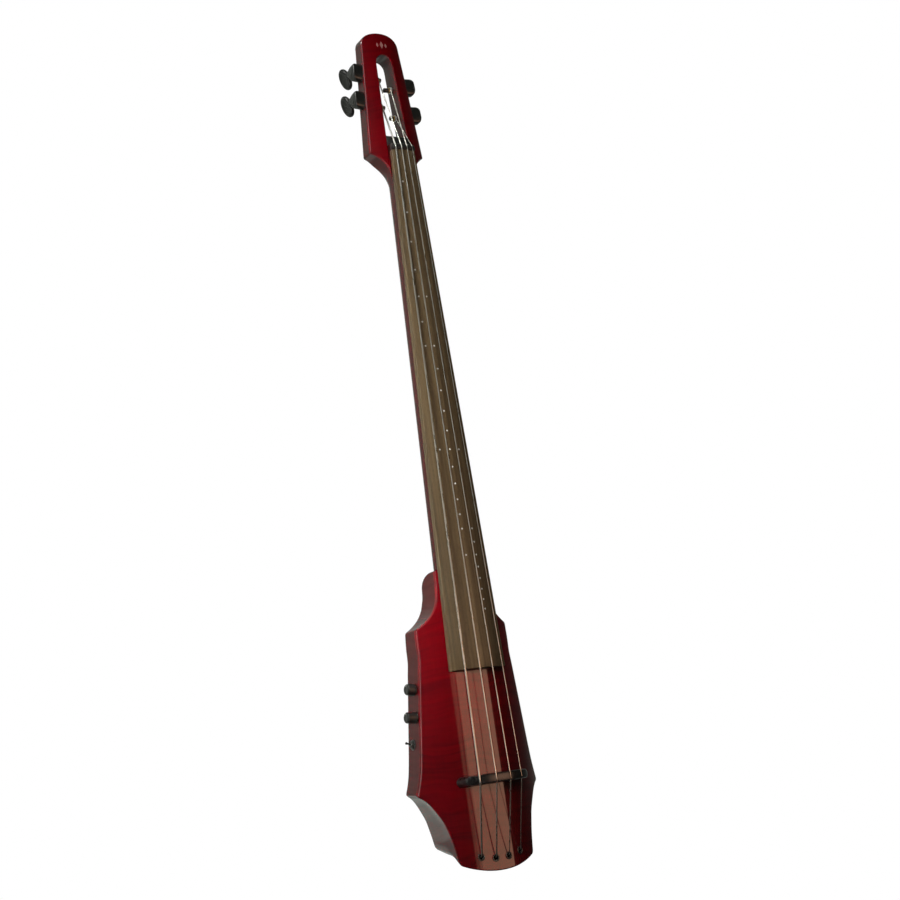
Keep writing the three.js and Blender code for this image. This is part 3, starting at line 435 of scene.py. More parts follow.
def board_wood():
    """Dark open-grained fingerboard wood, oiled: long grain lines, short pores, slow colour bands."""
    k = Mat("fingerboard_wood", Roughness=0.42, Specular_IOR_Level=0.4)
    streak = k.noise(k.scaled(210, 210, 3.2), 1.0, 4.0, 0.6, 0.15)
    fine = k.noise(k.scaled(1500, 1500, 16), 1.0, 3.0, 0.6)
    pore = k.noise(k.scaled(2600, 2600, 160), 1.0, 2.0, 0.5)
    slow = k.noise(k.scaled(26, 26, 1.6, (4, 0, 0)), 1.0, 2.0)
    base = k.ramp(streak, (0.28, srgb(76, 62, 42)), (0.5, srgb(96, 79, 54)), (0.74, srgb(120, 100, 70)))
    base = k.mix(k.gray(slow, (0.35, 0.0), (0.7, 0.35)), base, srgb(78, 63, 43))
    base = k.mix(k.gray(fine, (0.35, 0.35), (0.62, 0.0)), base, srgb(54, 43, 28))
    pores = k.gray(pore, (0.33, 1.0), (0.42, 0.0))
    base = k.mix(k.math("MULTIPLY", pores, 0.55), base, srgb(26, 19, 12))
    k.to("Base Color", base)
    k.to("Roughness", k.gray(fine, (0.3, 0.50), (0.7, 0.36)))
    k.to("Normal", k.bump(pores, -0.18, 0.00006, k.bump(fine, 0.10, 0.00006)))
    return k.m


def string_metal():
    """Flat-wound tape: fine turns across the string."""
    k = Mat("string_winding", Metallic=1.0, Roughness=0.30)
    turns = k.n("TexWave", Vector=k.coord, Scale=1250.0, Distortion=0.0)
    turns.wave_type, turns.bands_direction = "BANDS", "Z"
    slow = k.noise(k.scaled(400, 400, 30), 1.0, 3.0)
    base = k.mix(k.gray(slow, (0.35, 0.0), (0.65, 1.0)), (0.80, 0.80, 0.74, 1), (0.68, 0.67, 0.60, 1))
    k.to("Base Color", k.mix(k.gray(turns.outputs["Fac"], (0.0, 0.16), (0.25, 0.0)), base, (0.26, 0.24, 0.20, 1)))
    k.to("Roughness", k.gray(slow, (0.3, 0.24), (0.7, 0.38)))
    k.to("Normal", k.bump(turns.outputs["Fac"], 0.10, 0.00003))
    return k.m


BOARD = board_wood()
STRING = string_metal()
BLACK = plain_black("satin_black_plating", (0.010, 0.010, 0.0085), 0.30, 0.0, 0.25)
PLASTIC = plain_black("satin_black_plastic", (0.008, 0.008, 0.007), 0.36)
BRIDGE = plain_black("black_bridge", (0.006, 0.0058, 0.0052), 0.26, 0.0, 0.45, spec=0.3)
STEEL = metal("nickel_steel", (0.62, 0.62, 0.60), 0.24)
BRASS = metal("brass", (0.72, 0.50, 0.20), 0.28, tarnish=(0.42, 0.28, 0.12))
RUBBER = plain_black("rubber_jacket", (0.014, 0.014, 0.014), 0.7)


def circuit():
    k = Mat("circuit_board", Roughness=0.4)
    v = k.n("TexVoronoi", Vector=k.scaled(260, 260, 260), Scale=1.0)
    v.feature = "DISTANCE_TO_EDGE"
    fine = k.noise(k.scaled(900, 900, 900), 1.0, 2.0)
    tracks = k.gray(v.outputs["Distance"], (0.04, 1.0), (0.07, 0.0))
    base = k.mix(tracks, (0.012, 0.10, 0.032, 1), (0.03, 0.20, 0.07, 1))
    k.to("Base Color", k.mix(k.gray(fine, (0.4, 0.0), (0.7, 0.3)), base, (0.006, 0.05, 0.02, 1)))
    k.to("Normal", k.bump(tracks, 0.2, 0.0001))
    return k.m


def pearl():
    k = Mat("dot_pearl", Roughness=0.25, Coat_Weight=0.4, Coat_Roughness=0.1)
    n = k.noise(k.scaled(900, 900, 900), 1.0, 3.0)
    k.to("Base Color", k.ramp(n, (0.3, (0.62, 0.60, 0.54, 1)), (0.7, (0.90, 0.89, 0.84, 1))))
    k.to("Normal", k.bump(n, 0.05, 0.00004))
    return k.m


def inlay():
    k = Mat("head_inlay_wood", Roughness=0.3, Coat_Weight=0.6, Coat_Roughness=0.08)
    n = k.noise(k.scaled(900, 900, 120), 1.0, 3.0)
    k.to("Base Color", k.ramp(n, (0.3, (0.30, 0.13, 0.11, 1)), (0.7, (0.46, 0.24, 0.20, 1))))
    k.to("Normal", k.bump(n, 0.05, 0.00004))
    return k.m


CIRCUIT, PEARL, INLAY = circuit(), pearl(), inlay()

# ------------------------------------------------------------------ body
EDGE_R, BACK_R = 2.2, 2.6
HEEL_W = 45.6
RAKE_S = [(1020, 0), (1050, 1.6), (1071, 5.3), (1095, 6.5), (1120, 8.2), (1145, 11.5), (1162, 16), (1175, 23), (1184, 30), (1203, 32)]
RAKE_T = [(0, 0), (0.11, 0.2), (0.2, 0.39), (0.36, 0.59), (0.55, 0.7), (1, 1), (1.2, 1.1)]
HEEL = [(-80.3, 754.0), (-78.6, 745.0), (-75, 736.4), (-69.6, 730.4), (-63, 726.6), (-56, 724.3), (-49, 723.3), (30, 723.3)]
COLS = 44


def body_side():
    """The right side of the outline, from the heel's corner to the tail's corner, in (u, s)."""
    hollow = curve_pts([(HEEL_W + 0.2, 735), (HEEL_W + 0.5, 747), (47.6, 764), (49.5, 774), (53, 783.5), (60, 794.5), (69.5, 803.8), (78, 810), (82.0, 812.3)], 2.2)
    lower = curve_pts([(wallU(1012), 1012), (wallU(1012) + 1.3, 1022), (105.0, 1038), (108.9, 1056), (112.0, 1068.0)], 2.6)
    waist = curve_pts([(110.8, 1073.6), (105, 1078.4), (98.3, 1086.6), (90.8, 1099.6), (82.2, 1117.5), (77.2, 1135), (73.6, 1150.5), (70.7, 1168), (69.3, 1178.5)], 2.4)
    side = bend((HEEL_W - 4, HEEL_END), (HEEL_W, HEEL_END), (HEEL_W, HEEL_END + 4), 6)
    side += hollow
    side += bend((82.0, 812.3), (85.2, 814.0), (85.4, 818), 6)[1:]
    side += curve_pts([(85.4, 818), (86.2, 840), (wallU(862) - 0.3, 862), (wallU(880), 880)], 5)[1:]
    side += curve_pts([(wallU(880), 880), (wallU(946), 946), (wallU(1012), 1012)], 6)[1:]
    side += lower[1:]
    side += bend((112.0, 1068.0), (113.0, 1071.6), (110.8, 1073.6), 6)[1:]
    side += waist[1:]
    side += bend((69.3, 1178.5), (68.6, 1185.2), (64.2, 1187.1), 6)[1:]
    return side


SIDE_PTS = body_side()
TAIL_ARC = [(64.2, 1187.1), (56, 1190.9), (41, 1196.0), (25, 1199.6), (8, 1201.35), (0, TAIL_END)]
TAIL_BY_U = sorted([(u, s) for u, s in TAIL_ARC] + [(-u, s) for u, s in TAIL_ARC if u > 0])


def body_ring():
    n, m = len(SIDE_PTS) - 1, COLS
    w0, w1 = SIDE_PTS[0][0], SIDE_PTS[-1][0]
    ring = [(w0 * (2 * j / m - 1), HEEL_END) for j in range(m + 1)]
    ring += [tuple(p) for p in SIDE_PTS[1:-1]]
    ring += [(w1 * (1 - 2 * j / m), pch(TAIL_BY_U, w1 * (1 - 2 * j / m))) for j in range(m + 1)]
    ring += [(-p[0], p[1]) for p in SIDE_PTS[1:-1][::-1]]
    return ring


RING = body_ring()


def normals2d(ring):
    K, out = len(ring), []
    for i in range(K):
        a, p, b = ring[i - 1], ring[i], ring[(i + 1) % K]
        d1 = Vector((p[0] - a[0], p[1] - a[1]))
        d2 = Vector((b[0] - p[0], b[1] - p[1]))
        t = d1.normalized() + d2.normalized() if d1.length > 1e-6 and d2.length > 1e-6 else (d1 + d2)
        t.normalize()
        out.append((-t[1], t[0]))  # inwards, for a ring that runs right, down, left, up
    return out


RING_N = normals2d(RING)


def inset(a):
    return [(p[0] + n[0] * a, p[1] + n[1] * a) for p, n in zip(RING, RING_N)]


def place(u, s, d):
    """A point of the body at depth d, from 0 at the arched top to 1 near the back."""
    front = topH(u, s)
    h = front + (backH(s) - front) * d
    s1 = s - pch(RAKE_S, s) * pch(RAKE_T, max(0.0, d))
    if s1 < 768:
        e = pch(HEEL, h)
        s1 = e + (s1 - HEEL_END) * (768 - e) / (768 - HEEL_END)
    return u, s1, h


def place_back(u, s, above=0.0):
    d = 1.0
    front = topH(u, s)
    for _ in range(7):
        _, s1, h = place(u, s, d)
        d = (backH(s1) + above - front) / (backH(s) - front)
    return d


def body_cap(ring2d, depth):
    """A grid inside a ring; depth(u, s) gives each point's place."""
    n, m = len(SIDE_PTS) - 1, COLS
    K = len(ring2d)
    idx = {}
    for j in range(m + 1):
        idx[(0, j)] = j
        idx[(n, m - j)] = (m + 1) + (n - 1) + j
    for i in range(1, n):
        idx[(i, m)] = (m + 1) + (i - 1)
        idx[(n - i, 0)] = (m + 1) + (n - 1) + (m + 1) + (i - 1)
    extra = []
    L, R = ring2d[idx[(n, 0)]], ring2d[idx[(n, m)]]
    for i in range(1, n):
        a, b = ring2d[idx[(i, 0)]], ring2d[idx[(i, m)]]
        w = smooth((a[1] - 1090.0) / (L[1] - 1090.0))
        for j in range(1, m):
            v = j / m
            t = ring2d[idx[(n, j)]]
            base = (a[0] + (b[0] - a[0]) * v, a[1] + (b[1] - a[1]) * v)
            off = (t[0] - (L[0] + (R[0] - L[0]) * v), t[1] - (L[1] + (R[1] - L[1]) * v))
            idx[(i, j)] = K + len(extra)
            extra.append((base[0] + off[0] * w, base[1] + off[1] * w))
    faces = [(idx[(i, j)], idx[(i, j + 1)], idx[(i + 1, j + 1)], idx[(i + 1, j)]) for i in range(n) for j in range(m)]
    return [P(*depth(u, s)) for u, s in extra], faces


def body_piece(name, levels, cap_top, cap_back, mat, slot, nodes):
    """levels: a list of (inset, function of (u, s) giving the place)."""
    rings2d = [inset(a) for a, _ in levels]
    rings = [[P(*f(u, s)) for u, s in r] for r, (_, f) in zip(rings2d, levels)]
    verts, faces = stack(rings, False, False)
    K = len(RING)
    for which, k in ((cap_top, 0), (cap_back, len(levels) - 1)):
        extra, fs = body_cap(rings2d[k], which)
        base = len(verts)
        verts += extra
        for f in fs:
            g = tuple(k * K + v if v < K else base + v - K for v in f)
            faces.append(g)
    return make(name, verts, faces, mat, "bass", slot, nodes, sharp=42)


def at_drop(x):
    return lambda u, s: place(u, s, x / (topH(u, s) - backH(s)))


def at_share(f):
    def g(u, s):
        d0 = CAP / (topH(u, s) - backH(s))
        return place(u, s, d0 + (place_back(u, s, BACK_R) - d0) * f)

    return g


def at_back(above):
    return lambda u, s: place(u, s, place_back(u, s, above))


round_front = []
for i in range(6):
    q = math.pi / 2 * i / 5
    round_front.append((EDGE_R * (1 - math.sin(q)), at_drop(EDGE_R * (1 - math.cos(q)))))
round_back = []
for i in range(1, 6):
    q = math.pi / 2 * i / 5
    round_back.append((BACK_R * (1 - math.cos(q)), at_back(BACK_R * (1 - math.sin(q)))))
top = body_piece("body_top_plate", round_front + [(0, at_drop(3.4)), (0, at_drop(4.7)), (0, at_drop(CAP - 0.02))],
                 lambda u, s: place(u, s, 0.0), at_drop(CAP - 0.02), FACE, "stained_maple", ["body_top"])
core = body_piece("body_back_and_sides", [(0, at_drop(CAP))] + [(0, at_share(f)) for f in (0.035, 0.08, 0.14, 0.21, 0.28, 0.35, 0.42, 0.5, 0.58, 0.66, 0.73, 0.79, 0.84, 0.885, 0.92, 0.95, 0.975, 1.0)] + round_back,
                  at_drop(CAP), at_back(0.0), SIDE, "stained_maple", ["body_core"])

# the control cavity's recess, the seat of the jack, and the wells of the string anchors
CAV_IN, S0, S1 = 3.0, 880.0, 1015.0


def cover_plan(gap):
    r, w = 6.0, lambda s: wallU(s) - CAV_IN - gap
    a, b = S0 + gap, S1 - gap
    right = bend((w(a) - r, a), (w(a), a), (w(a + r), a + r), 6)
    right += bend((w(b - r), b - r), (w(b), b), (w(b) - r, b), 6)
    return right + [(-u, s) for u, s in right[::-1]]


def plate(plan, h0, h1, round_r=0.0, steps=3):
    """A plate whose outline is plan in (u, s); h0 and h1 are functions of s, h1 the outer face."""
    c = (sum(p[0] for p in plan) / len(plan), sum(p[1] for p in plan) / len(plan))
    N = normals2d(plan)
    sign = 1 if sum((p[0] - c[0]) * n[0] + (p[1] - c[1]) * n[1] for p, n in zip(plan, N)) < 0 else -1
    side = 1 if h1(c[1]) > h0(c[1]) else -1
    rings = [[P(u, s, h0(s)) for u, s in plan]]
    if round_r:
        for i in range(steps + 1):
            q = math.pi / 2 * i / steps
            a, b = round_r * (1 - math.cos(q)), round_r * (1 - math.sin(q))
            rings.append([P(p[0] + sign * n[0] * a, p[1] + sign * n[1] * a, h1(p[1]) - side * b) for p, n in zip(plan, N)])
    else:
        rings.append([P(u, s, h1(s)) for u, s in plan])
    return stack(rings)


cut(core, loose(*plate(cover_plan(0.0), lambda s: backH(s) - 12, lambda s: backH(s) + 2.5)),
    loose(*plate([(u * 0.90, 947.5 + (s - 947.5) * 0.86) for u, s in cover_plan(0.0)], lambda s: backH(s) - 12, lambda s: -60)), sharp=42)
JS, JSINK, JH = 968.0, 1.6, -73.0
jack = local(wallU(JS) - JSINK, JS, JH, 0.0, False)
cut(core, loose(*cyl(jack @ Vector((0, 0, 0)), jack @ Vector((20, 0, 0)), 10.5 * MM, 48)),
    loose(*cyl(jack @ Vector((-12, 0, 0)), jack @ Vector((4, 0, 0)), 5.2 * MM, 32)), sharp=42)
for t in STRINGS.values():
    h = topH(t["au"], t["aS"])
    c0, c1 = P(t["au"], t["aS"], h - 15.3), P(t["au"], t["aS"], h + 20)
    boolean(top, loose(*cyl(c0, c1, 5.25 * MM, 40)))
    boolean(core, loose(*cyl(c0, c1, 5.25 * MM, 40)))
finish_mesh(top, 42)
finish_mesh(core, 42)

# ------------------------------------------------------------------ neck and head
HOLLOW = [(0, 52.4), (0.8, 50.8), (3.3, 46), (7, 41.5), (11, 37.7), (15, 34.3), (20, 30.8), (26, 27.6), (32, 25.4), (40, 24), (50, 23.4), (60, 23.4)]
HEAD_END = [(0, HEAD_TOP), (9, -229.9), (19, -228), (27.5, -224.3), (33.6, -218.6), (36.6, -211.5), (headW(-203), -203)]


def head_side(last):
    """Right side of the head, from the middle of its top end to the neck, in (u, s)."""
    pts = curve_pts(HEAD_END, 1.5)
    k = 14
    pts += [(headW(-203 + 198.5 * i / k), -203 + 198.5 * i / k) for i in range(1, k + 1)]
    pts += bend((headW(-4.5), -4.5), (52.7, 0.4), (50.4, 1.2), 6)[1:]
    pts += curve_pts([(50.4, 1.2), (46, 3.5), (41.5, 7), (37.7, 11), (34.3, 15), (30.8, 20), (27.6, 26), (25.4, 32), (24, 40), (23.45, 50), (23.45, 60)], 1.6)[1:]
    if last > 60:
        pts += [((boardW(s) - 0.5), s) for s in [70 + 26 * i for i in range(26)] if s < last - 6]
        pts.append((boardW(last) - 0.5, last))
    return [p for p in pts if p[1] <= last + 1e-6]


def side_normals(pts):
    out = []
    for i, p in enumerate(pts):
        a, b = pts[max(0, i - 1)], pts[min(len(pts) - 1, i + 1)]
        if i == 0:
            out.append((0.0, 1.0))
            continue
        t = Vector((b[0] - a[0], b[1] - a[1])).normalized()
        out.append((-t[1], t[0]))
    return out


def neck_top(u, s):
    face = headCrown(s) - u * u / HEAD_ARCH - HEAD_VENEER - 0.05
    return face + (boardBottom(max(s, 0)) - GAP - face) * smooth((s - 46) / 14)


def neck_piece():
    """Half a profile swept round the outline and mirrored: square with rounded edges at the head, a U at the neck."""
    pts = head_side(HEEL_END - GAP)
    nrm = side_normals(pts)
    V = 22
    rows = []
    for (u, s), n in zip(pts, nrm):
        q = smooth((s - 8) / 52)
        back = HEAD_BACK + (neckBack(s) - HEAD_BACK) * smooth((s - 6) / 54)
        d = Vector((n[0] * (1 - q) - q, n[1] * (1 - q)))
        d.normalize()
        row = []
        for v in range(V + 1):
            f = v / V
            t0 = neck_top(u, s)
            # square, with the back edge rounded by 3.2 mm
            r, flat = 3.2, 0.55
            if f < flat:
                sx, hh = 0.0, t0 + (back + r - t0) * f / flat
            else:
                a = math.pi / 2 * (f - flat) / (1 - flat)
                sx, hh = r * (1 - math.cos(a)), back + r * (1 - math.sin(a))
            # U-shaped
            top_u = t0
            if f < 0.14:
                ux, uh = 0.0, top_u + (0.26 * (back - top_u)) * f / 0.14
            else:
                a = math.pi / 2 * (f - 0.14) / 0.86
                ux = u * (1 - math.cos(a) ** 0.86) if f < 1 else u * 0.985
                uh = top_u + (back - top_u) * (0.26 + 0.74 * math.sin(a) ** 0.92)
            off = sx + (ux - sx) * q
            h = hh + (uh - hh) * q
            du = u + d[0] * off
            ds = s + d[1] * off
            if u < r + 0.5 and s < -220:
                du = max(0.0, u - (off if u > 0.01 else 0.0)) if u > 0.01 else 0.0
                du = u * (1 - off / (r * 3.5))
            row.append((max(0.0, du), ds, h))
        rows.append(row)
    verts, faces = [], []
    n = len(rows)
    # right half then left half
    for sgn in (1, -1):
        for row in rows:
            verts += [P(sgn * a, b, c) for a, b, c in row]
    W = V + 1
    off = n * W
    for i in range(n - 1):
        for v in range(V):
            a, b, c, e = i * W + v, i * W + v + 1, (i + 1) * W + v + 1, (i + 1) * W + v
            faces.append((a, b, c, e))
            faces.append((off + a, off + e, off + c, off + b))
    # back: between the two innermost columns; front: between the two outermost
    for col in (V, 0):
        M = 16 if col == 0 else 10
        idx = {}
        for i in range(n):
            a, b = rows[i][col], (-rows[i][col][0], rows[i][col][1], rows[i][col][2])
            for j in range(M + 1):
                if j == 0:
                    idx[(i, j)] = i * W + col
                elif j == M:
                    idx[(i, j)] = off + i * W + col
                else:
                    u = a[0] + (b[0] - a[0]) * j / M
                    h = neck_top(u, a[1]) if col == 0 else a[2]
                    idx[(i, j)] = len(verts)
                    verts.append(P(u, a[1], h))
        for i in range(n - 1):
            for j in range(M):
                f = (idx[(i, j)], idx[(i, j + 1)], idx[(i + 1, j + 1)], idx[(i + 1, j)])
                faces.append(f if col == V else f[::-1])
        if col == V:
            back_last = [idx[(n - 1, j)] for j in range(1, M)]
        else:
            front_last = [idx[(n - 1, j)] for j in range(1, M)]
    # the end at the heel
    end = [(n - 1) * W + v for v in range(W)] + back_last + [off + (n - 1) * W + v for v in range(V, -1, -1)] + front_last[::-1]
    faces.append(tuple(end))
    return verts, faces


neck = make("neck_and_head", *neck_piece(), NECK, "bass", "neck_maple", ["neck"], sharp=40)

SLOT = [(0, -188.5), (6.2, -187.2), (11.2, -183.4), (14.4, -178.2), (15.6, -171.5), (16.1, -157)]


def slot_outline():
    right = curve_pts(SLOT, 1.4)
    right += [(16.1 + 2.2 * i / 6, -157 + 57 * i / 6) for i in range(1, 7)]
    right += [(18.3 + 2.9 * i / 7, -100 + 69 * i / 7) for i in range(1, 8)]
    right = right[:-1] + bend((21.15, -33), (21.2, -31), (19.2, -31), 4)
    return right + [(-u, s) for u, s in right[::-1] if u > 1e-6]


def slot_cutter(flare=0.9):
    """The slot, opening with a small radius at the face and the back of the head."""
    plan = slot_outline()
    N = normals2d(plan)
    rings = []

    def ring(a, hf):
        rings.append([P(p[0] - n[0] * a, p[1] - n[1] * a, hf(p[0] - n[0] * a, p[1] - n[1] * a)) for p, n in zip(plan, N)])

    face = lambda u, s: headCrown(s) - u * u / HEAD_ARCH
    ring(flare + 2.5, lambda u, s: HEAD_BACK - 2.5)
    for i in range(5):
        q = math.pi / 2 * i / 4
        ring(flare * (1 - math.sin(q)), lambda u, s, q=q: HEAD_BACK + flare * (1 - math.cos(q)))
    ring(0, lambda u, s: -36)
    for i in range(5):
        q = math.pi / 2 * i / 4
        ring(flare * (1 - math.cos(q)), lambda u, s, q=q: face(u, s) - flare * (1 - math.sin(q)))
    ring(flare + 2.5, lambda u, s: face(u, s) + 2.5)
    ring(flare + 2.5, lambda u, s: 8.0)
    return stack(rings)


def prism(plan, h0, h1):
    return stack([[P(u, s, h0) for u, s in plan], [P(u, s, h1) for u, s in plan]])


slotc = loose(*slot_cutter())
boolean(neck, slotc, keep=True)
boolean(neck, loose(*prism([(-22.4, -34), (22.4, -34), (22.4, -12), (-22.4, -12)], -24.6, 10)))
for k, s in POSTS.items():
    m = local(headW(s), s, POST_H, HEAD_TILT, k in "ea")
    boolean(neck, loose(*cyl(m @ Vector((-40, 0, 0)), m @ Vector((6, 0, 0)), 4.5 * MM, 28)))
boolean(neck, loose(*cyl(P(0, -40, -33), P(0, 12, -33), 4.6 * MM, 32)))
finish_mesh(neck, 40)

# neck wood between the head's face and the fingerboard
rings = []
for s in (-12, 10, 30, 54):
    w = boardW(max(s, 0)) - 0.5
    if s < 0:
        w = BOARD_NUT_W - 0.5
    t = boardBottom(max(s, 0)) - GAP
    rings.append([P(u, s, h) for u, h in ((-w, -26), (w, -26), (w, t), (-w, t))])
make("neck_step", *stack(rings), NECK, "bass", "neck_maple", ["neck"])
# the tongue under the fingerboard, over the arched top
rings = []
for i in range(17):
    s = HEEL_END - 0.4 + (884 - HEEL_END) * i / 16
    w, b = boardW(s) - 6, boardBottom(s) - GAP
    low = [(-w + 2 * w * j / 12, crown(s) - (-w + 2 * w * j / 12) ** 2 / TOP_ARCH - 0.5) for j in range(13)]
    rings.append([P(u, s, h) for u, h in low + [(w, b), (-w, b)]])
make("neck_tongue", *stack(rings), NECK, "bass", "neck_maple", ["neck"])


def head_face():
    """The face veneer: a rounded front edge, level with the head's sides."""
    pts = head_side(47.0)
    nrm = side_normals(pts)
    n = len(pts)
    face = lambda u, s: headCrown(s) - u * u / HEAD_ARCH
    R = 1.9
    prof = [(R * (1 - math.sin(math.pi / 2 * i / 5)), R * (1 - math.cos(math.pi / 2 * i / 5))) for i in range(6)] + [(0, 2.5), (0, HEAD_VENEER)]
    rows = []
    for (u, s), nn in zip(pts, nrm):
        row = []
        for a, drop in prof:
            uu = max(0.0, u + nn[0] * a) if u > 1e-6 else 0.0
            ss = s + nn[1] * a
            row.append((uu, ss, face(uu, ss) - drop))
        rows.append(row)
    W = len(prof)
    verts, faces = [], []
    for sgn in (1, -1):
        for row in rows:
            verts += [P(sgn * a, b, c) for a, b, c in row]
    off = n * W
    for i in range(n - 1):
        for v in range(W - 1):
            a, b, c, e = i * W + v, i * W + v + 1, (i + 1) * W + v + 1, (i + 1) * W + v
            faces.append((a, b, c, e))
            faces.append((off + a, off + e, off + c, off + b))
    ends = []
    for col in (0, W - 1):
        M = 31
        idx = {}
        for i in range(n):
            a = rows[i][col]
            for j in range(M + 1):
                if j == 0:
                    idx[(i, j)] = i * W + col
                elif j == M:
                    idx[(i, j)] = off + i * W + col
                else:
                    u = a[0] * (1 - 2 * j / M)
                    idx[(i, j)] = len(verts)
                    verts.append(P(u, a[1], face(u, a[1]) - prof[col][1]))
        for i in range(n - 1):
            for j in range(M):
                f = (idx[(i, j)], idx[(i, j + 1)], idx[(i + 1, j + 1)], idx[(i + 1, j)])
                faces.append(f[::-1] if col == 0 else f)
        ends.append([idx[(n - 1, j)] for j in range(1, M)])
    faces.append(tuple([(n - 1) * W + v for v in range(W)] + ends[1] + [off + (n - 1) * W + v for v in range(W - 1, -1, -1)] + ends[0][::-1]))
    return verts, faces


face = make("headstock_face_veneer", *head_face(), HEADF, "bass", "stained_maple", ["headstock_face"], sharp=40)
boolean(face, slotc)
boolean(face, loose(*prism([(-22.4, -31.4), (22.4, -31.4), (24, 60), (-24, 60)], -60, 20)))
finish_mesh(face, 40)

# ------------------------------------------------------------------ fingerboard and its dots
rings = []
for i in range(25):
    s = GAP + (BOARD_END - GAP) * i / 24
    w, r = boardW(s), 0.9
    arch = lambda u: -u * u / BOARD_ARCH
    sec = []
    for j in range(27):
        u = (w - r) * (1 - 2 * j / 26)
        sec.append((u, arch(u)))
    lt = []
    for j in range(1, 5):
        q = math.pi / 2 * j / 4
        lt.append((-(w - r) - r * math.sin(q), arch(w - r) - r * (1 - math.cos(q))))
    b = boardBottom(s)
    lt += [(-w, b + 0.5), (-w + 0.5, b)]
    rt = [(-u, h) for u, h in lt[::-1]]
    rings.append([P(u, s, h) for u, h in sec + lt + rt])
ends = []
for ring in (rings[0], rings[-1]):
    pass
board = make("fingerboard_wood_arched", *stack(rings), BOARD, "bass", "board", ["fingerboard"], sharp=40)
bevel(board, 0.7, 2, 60, 45)

stringU = lambda k, s: STRINGS[k]["nut"] + (STRINGS[k]["bu"] - STRINGS[k]["nut"]) * s / SCALE
semi = lambda n: SCALE * (1 - 2 ** (-n / 12))
dots = [((stringU("e", semi(n)) + stringU("a", semi(n))) / 2, semi(n)) for n in (1, 2, 3, 4, 5, 6, 7, 12)]
dots += [(0.0, semi(n)) for n in (5, 7, 8, 9, 10, 11, 12, 13, 14, 15, 16, 17, 19)]
dots += [((stringU("d", semi(n)) + stringU("g", semi(n))) / 2, semi(n)) for n in (12, 17, 18, 19, 20, 21, 22, 23, 24)]
verts, faces = [], []
for u, s in dots:
    h = -u * u / BOARD_ARCH
    nx = Vector((2 * u / BOARD_ARCH, 0, 1)).normalized()  # (u, s, h)
    tu = Vector((nx[2], 0, -nx[0]))
    base, r, n = len(verts), 1.5, 20
    for k, (rr, up) in enumerate(((r, -0.6), (r, 0.03), (r - 0.12, 0.07), (r * 0.5, 0.09))):
        for i in range(n):
            q = 2 * math.pi * i / n
            verts.append(P(u + tu[0] * rr * math.cos(q) + nx[0] * up, s + rr * math.sin(q), h + tu[2] * rr * math.cos(q) + nx[2] * up))
    for k in range(3):
        for i in range(n):
            j = (i + 1) % n
            faces.append((base + k * n + i, base + k * n + j, base + (k + 1) * n + j, base + (k + 1) * n + i))
    faces.append(tuple(base + i for i in range(n))[::-1])
    faces.append(tuple(base + 3 * n + i for i in range(n)))
make("fingerboard_dots", verts, faces, PEARL, "bass", None, sharp=60)

# ------------------------------------------------------------------ nut and shelf
def side_profile(profile, halves, n=1):
    """A side profile in (s, h), from -w to w; halves gives w by station."""
    rings = []
    for u in halves:
        rings.append([P(u, s, h(u) if callable(h) else h) for s, h in profile])
    return stack(rings)


def route_cutter(t, route, r):
    """An open round-bottomed groove under a string's route, given as (u, s, h) points."""
    rings = []
    for u, s, h in route:
        ring = [(u + r, 20)]
        for i in range(9):
            q = math.pi * i / 8
            ring.append((u + r * math.cos(q), h - r * math.sin(q)))
        ring.append((u - r, 20))
        rings.append([P(a, s, b if b < 19 else h + 20) for a, b in ring])
    return stack(rings)


prof = [(-11.7, -11.5), (-11.7, lambda u: nutH(u) - 3.3), (-7, lambda u: nutH(u) + 0.3), (-3.5, lambda u: nutH(u) + 1.0), (-1.0, lambda u: nutH(u) + 0.9), (0, lambda u: nutH(u) + 0.2), (0, -11.5)]
nut = make("nut_block", *side_profile(prof, [-21 + 42 * i / 20 for i in range(21)]), PLASTIC, "bass", "black_plastic", ["nut"], sharp=30)
bevel(nut, 0.5, 2, 35, 50)
for t in STRINGS.values():
    hb = nutH(t["nut"])
    slope_in = (t["bu"] - t["nut"]) / SCALE
    boolean(nut, loose(*route_cutter(t, [(t["nut"] + slope_in * 3, 3, hb + 0.02), (t["nut"], -4, hb - 0.1), (t["nut"], -9.5, hb - 1.4), (t["nut"], -16, hb - 4.6)], t["r"] + 0.2)))
finish_mesh(nut, 40)
shelf = make("nut_shelf_block", *side_profile([(-31, -24.3), (-31, -17.2), (-30.4, -16.2), (-29.2, -15.5), (-12.1, -9), (-12.1, -24.3)], [-21.9 + 43.8 * i / 12 for i in range(13)]), PLASTIC, "bass", "black_plastic", ["nut_shelf"], sharp=30)
bevel(shelf, 0.6, 3, 35, 50)

# ------------------------------------------------------------------ bridge
BW = 55.5


